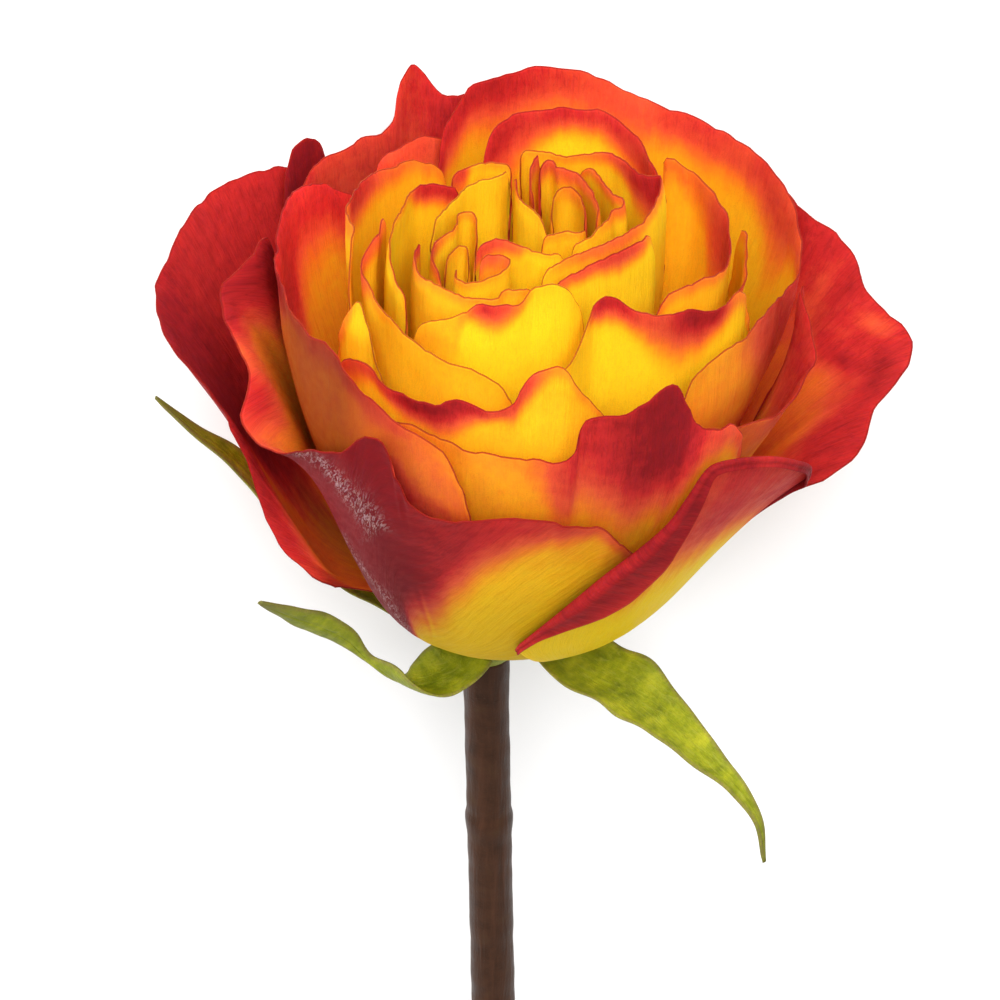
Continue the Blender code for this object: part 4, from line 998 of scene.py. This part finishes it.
class Graph:
    """Helper that adds nodes to one material and links them. It starts with the skin's noises."""

    def __init__(self, name, shader, noises):
        self.material = bpy.data.materials.new(name)
        self.material.use_nodes = True
        self.tree = self.material.node_tree
        self.shader = self.tree.nodes["Principled BSDF"]
        for socket, value in shader.items():
            self.shader.inputs[socket].default_value = value
        self.noises = {word: self.noise(*values) for word, values in noises.items()}

    def node(self, kind, inputs, output=0, **settings):
        """Adds a node with these inputs, by socket, each a linked output or a value."""
        node = self.tree.nodes.new(kind)
        for key, value in settings.items():
            setattr(node, key, value)
        for socket, value in inputs.items():
            if isinstance(value, bpy.types.NodeSocket):
                self.tree.links.new(value, node.inputs[socket])
            else:
                node.inputs[socket].default_value = value
        return node.outputs[output]

    def attribute(self, name, output="Fac"):
        return self.node("ShaderNodeAttribute", {}, output, attribute_name=name)

    def math(self, operation, first, second=0.0):
        return self.node("ShaderNodeMath", {0: first, 1: second}, operation=operation)

    def times(self, first, second):
        return self.math("MULTIPLY", first, second)

    def noise(self, stretch, scale, detail, roughness, distortion):
        inputs = {0: self.attribute("grain", "Vector"), 1: (1.0, stretch, 1.0)}
        inputs = {"Vector": self.node("ShaderNodeVectorMath", inputs, operation="MULTIPLY"), "Scale": scale,
                  "Detail": detail, "Roughness": roughness, "Distortion": distortion}
        return self.node("ShaderNodeTexNoise", inputs, "Fac")

    def ramp(self, value, stops):
        colours = self.node("ShaderNodeValToRGB", {0: value}, "Color")
        elements = colours.node.color_ramp.elements
        while len(elements) < len(stops):
            elements.new(1.0)
        for element, (place, colour) in zip(elements, stops):
            element.position = place
            element.color = (*colour, 1.0)
        return colours

    def spread(self, value, low, high, to_low=0.0, to_high=1.0):
        inputs = {"Value": value, "From Min": low, "From Max": high, "To Min": to_low, "To Max": to_high}
        return self.node("ShaderNodeMapRange", inputs, "Result", interpolation_type="SMOOTHSTEP")

    def mix(self, share, first, second, blend="MIX"):
        """Mixes two colours by the Mix node's colour sockets: A is 6, B is 7 and the result is 2."""
        second = (*second, 1.0) if isinstance(second, tuple) else second
        inputs = {0: share, 6: first, 7: second}
        return self.node("ShaderNodeMix", inputs, 2, data_type="RGBA", blend_type=blend)

    def finish(self, colour, roughness, bumps):
        """The finished material, with several noises embossed one over the other."""
        normal = {}
        for noise, strength, depth in bumps:
            inputs = {"Height": self.noises[noise], "Strength": strength, "Distance": depth, **normal}
            normal = {"Normal": self.node("ShaderNodeBump", inputs, "Normal")}
        for socket, value in {"Base Color": colour, "Roughness": roughness, **normal}.items():
            self.tree.links.new(value, self.shader.inputs[socket])
        return self.material


def petal_material(name):
    """Petal skin: colour from the tone attribute, feathered along the veins, with a dark line at the rim.

    Light is painted into the colour too: the heart and inner petals brighter below their rims, each face's
    painted light and shading, and a pale painted sheen highlight on one guard.
    """
    g = Graph(name, PETAL_SHADER, PETAL_NOISES)
    tone, edge, gloss = g.attribute("tone"), g.attribute("edge"), g.attribute("gloss")
    shift = 0.0
    for noise, amount in TONE_SHIFTS:
        shift = g.math("ADD", shift, g.times(g.math("SUBTRACT", g.noises[noise], 0.5), amount))
    tone = g.math("ADD", tone, g.times(shift, g.spread(tone, *YELLOW_CALM)))
    colour = g.ramp(tone, TONES)
    # Painted light: the heart and inner petals brighter below the rim, for light passing through them.
    painted_glow = g.spread(edge, *PAINTED_GLOW_DEPTHS, 1.0, PAINTED_GLOW if name in ("petal_heart", "petal_inner") else 1.0)
    # Multiplies in the painted light below the rims, each face's painted light and shading, and the speckle of
    # the cells.
    for brightness in (g.times(painted_glow, g.attribute("shade")), g.spread(g.noises["cells"], *SPECKLE)):
        colour = g.mix(1.0, colour, brightness, "MULTIPLY")
    thread = g.math("ABSOLUTE", g.math("SUBTRACT", g.noises["threads"], 0.5))
    thread = g.times(g.spread(thread, *THREAD_WIDTH), g.spread(tone, *THREAD_SHARE))
    colour = g.mix(thread, colour, THREAD_COLOUR)
    # Painted sheen: a pale highlight colour mixed in along the streak, in crinkled threads. It also lowers the
    # roughness below.
    painted_sheen = g.times(gloss, g.spread(g.noises["crinkle"], *PAINTED_SHEEN_GRAIN))
    colour = g.mix(g.times(painted_sheen, PAINTED_SHEEN_SHARE), colour, PAINTED_SHEEN_COLOUR)
    reach = GUARD_RIM_REACH if name == "petal_guard" else RIM_REACH
    colour = g.mix(g.times(g.spread(edge, RIM_START, reach, 1.0, 0.0), RIM_LINE), colour, RIM_COLOUR)
    roughness = g.spread(g.noises["mottle"], *PETAL_ROUGHNESS)
    roughness = g.math("SUBTRACT", roughness, g.times(painted_sheen, SHEEN_SMOOTHING))
    g.noises["sheen"] = g.times(g.noises["crinkle"], gloss)
    return g.finish(colour, roughness, PETAL_BUMPS)


def sepal_material():
    """Leaf skin: yellow-green with paler veins, a paler under face and reddish margins and tips."""
    g = Graph("sepal", SEPAL_SHADER, SEPAL_NOISES)
    mottle, fine = g.noises["mottle"], g.noises["fine"]
    colour = g.ramp(mottle, SEPAL_GROUND)
    colour = g.mix(g.spread(g.noises["veins"], *SEPAL_VEIN_SHARE), colour, SEPAL_VEIN_COLOUR)
    colour = g.mix(g.times(g.attribute("under"), UNDER_SHARE), colour, UNDER_COLOUR)
    margin = g.times(g.spread(g.attribute("edge"), *MARGIN_DEPTHS), g.spread(fine, *MARGIN_GRAIN))
    colour = g.mix(margin, colour, MARGIN_COLOUR)
    tip = g.times(g.spread(g.attribute("tone"), *LEAF_TIP_SHARE), g.spread(mottle, *LEAF_TIP_GRAIN))
    colour = g.mix(tip, colour, LEAF_TIP_COLOUR)
    return g.finish(colour, g.spread(fine, *SEPAL_ROUGHNESS), SEPAL_BUMPS)


def stem_material():
    """Stem skin: dark brown over green, in long streaks, with a pale ringed cut."""
    g = Graph("stem", STEM_SHADER, STEM_NOISES)
    mottle = g.noises["mottle"]
    colour = g.ramp(mottle, STEM_GROUND)
    colour = g.mix(g.spread(g.noises["streaks"], *STEM_STREAK_SHARE), colour, STEM_STREAK_COLOUR)
    colour = g.mix(g.spread(g.noises["fine"], *STEM_FLECK_SHARE), colour, STEM_FLECK_COLOUR)
    colour = g.mix(g.attribute("cut"), colour, g.ramp(g.attribute("from_axis"), PITH))
    return g.finish(colour, g.spread(mottle, *STEM_ROUGHNESS), STEM_BUMPS)


def build_floor():
    mesh = bpy.data.meshes.new("floor")
    signs = ((-1, -1), (1, -1), (1, 1), (-1, 1))
    corners = [(x * FLOOR_REACH, y * FLOOR_REACH, FLOOR_DROP) for x, y in signs]
    mesh.from_pydata(corners, [], [(0, 1, 2, 3)])
    mesh.materials.append(Graph("floor", FLOOR_SHADER, {}).material)
    floor = add_object("floor", mesh)


def build_light():
    world = bpy.data.worlds.new("studio")
    bpy.context.scene.world = world
    world.use_nodes = True
    background = world.node_tree.nodes["Background"]
    background.inputs["Color"].default_value = (1, 1, 1, 1)
    background.inputs["Strength"].default_value = WORLD_STRENGTH
    heart = LAID @ Vector(LAMP_AIM)
    for name, place, size, power in LAMPS:
        lamp = bpy.data.lights.new(name, "AREA")
        lamp.shape = "DISK"
        lamp.size = size
        lamp.energy = power
        thing = add_object(name, lamp)
        thing.location = place
        thing.rotation_euler = (heart - Vector(place)).to_track_quat("-Z", "Y").to_euler()


def build_camera():
    """The camera looks down on the flower, at the photograph's angle to the bloom's axis."""
    turned = Matrix.Rotation(-VIEW_TILT, 4, "X") @ Matrix.Rotation(VIEW_ROLL, 4, "Z")
    lens = bpy.data.cameras.new("camera")
    lens.sensor_width = SENSOR
    lens.lens = SENSOR * VIEW_DISTANCE / VIEW_WIDTH
    camera = add_object("camera", lens)
    camera.matrix_world = LAID @ turned @ Matrix.Translation(Vector((*VIEW_MIDDLE, VIEW_DISTANCE)) * MM)
    bpy.context.scene.camera = camera
    bpy.context.scene.view_settings.view_transform = "Standard"


LAID = Matrix.Translation(BLOOM_BASE) @ Matrix.Rotation(TILT, 4, "X")
MATERIALS = {"sepal": sepal_material(), "stem": stem_material()}
SEEDS = {node: 10 * number for number, node in enumerate(sorted(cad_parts))}

build_camera()
build_floor()
build_light()
build_petals(GUARDS, "petal_guard", ring_petal_sheet, RIM_CURL)
build_petals(OUTER_PETALS, "petal_outer", ring_petal_sheet, RIM_CURL)
build_petals(INNER_PETALS, "petal_inner", ring_petal_sheet, RIM_CURL)
build_petals(HEART_PETALS, "petal_heart", heart_petal_sheet, HEART_CURL)
build_sepals()
build_receptacle()
build_stem()
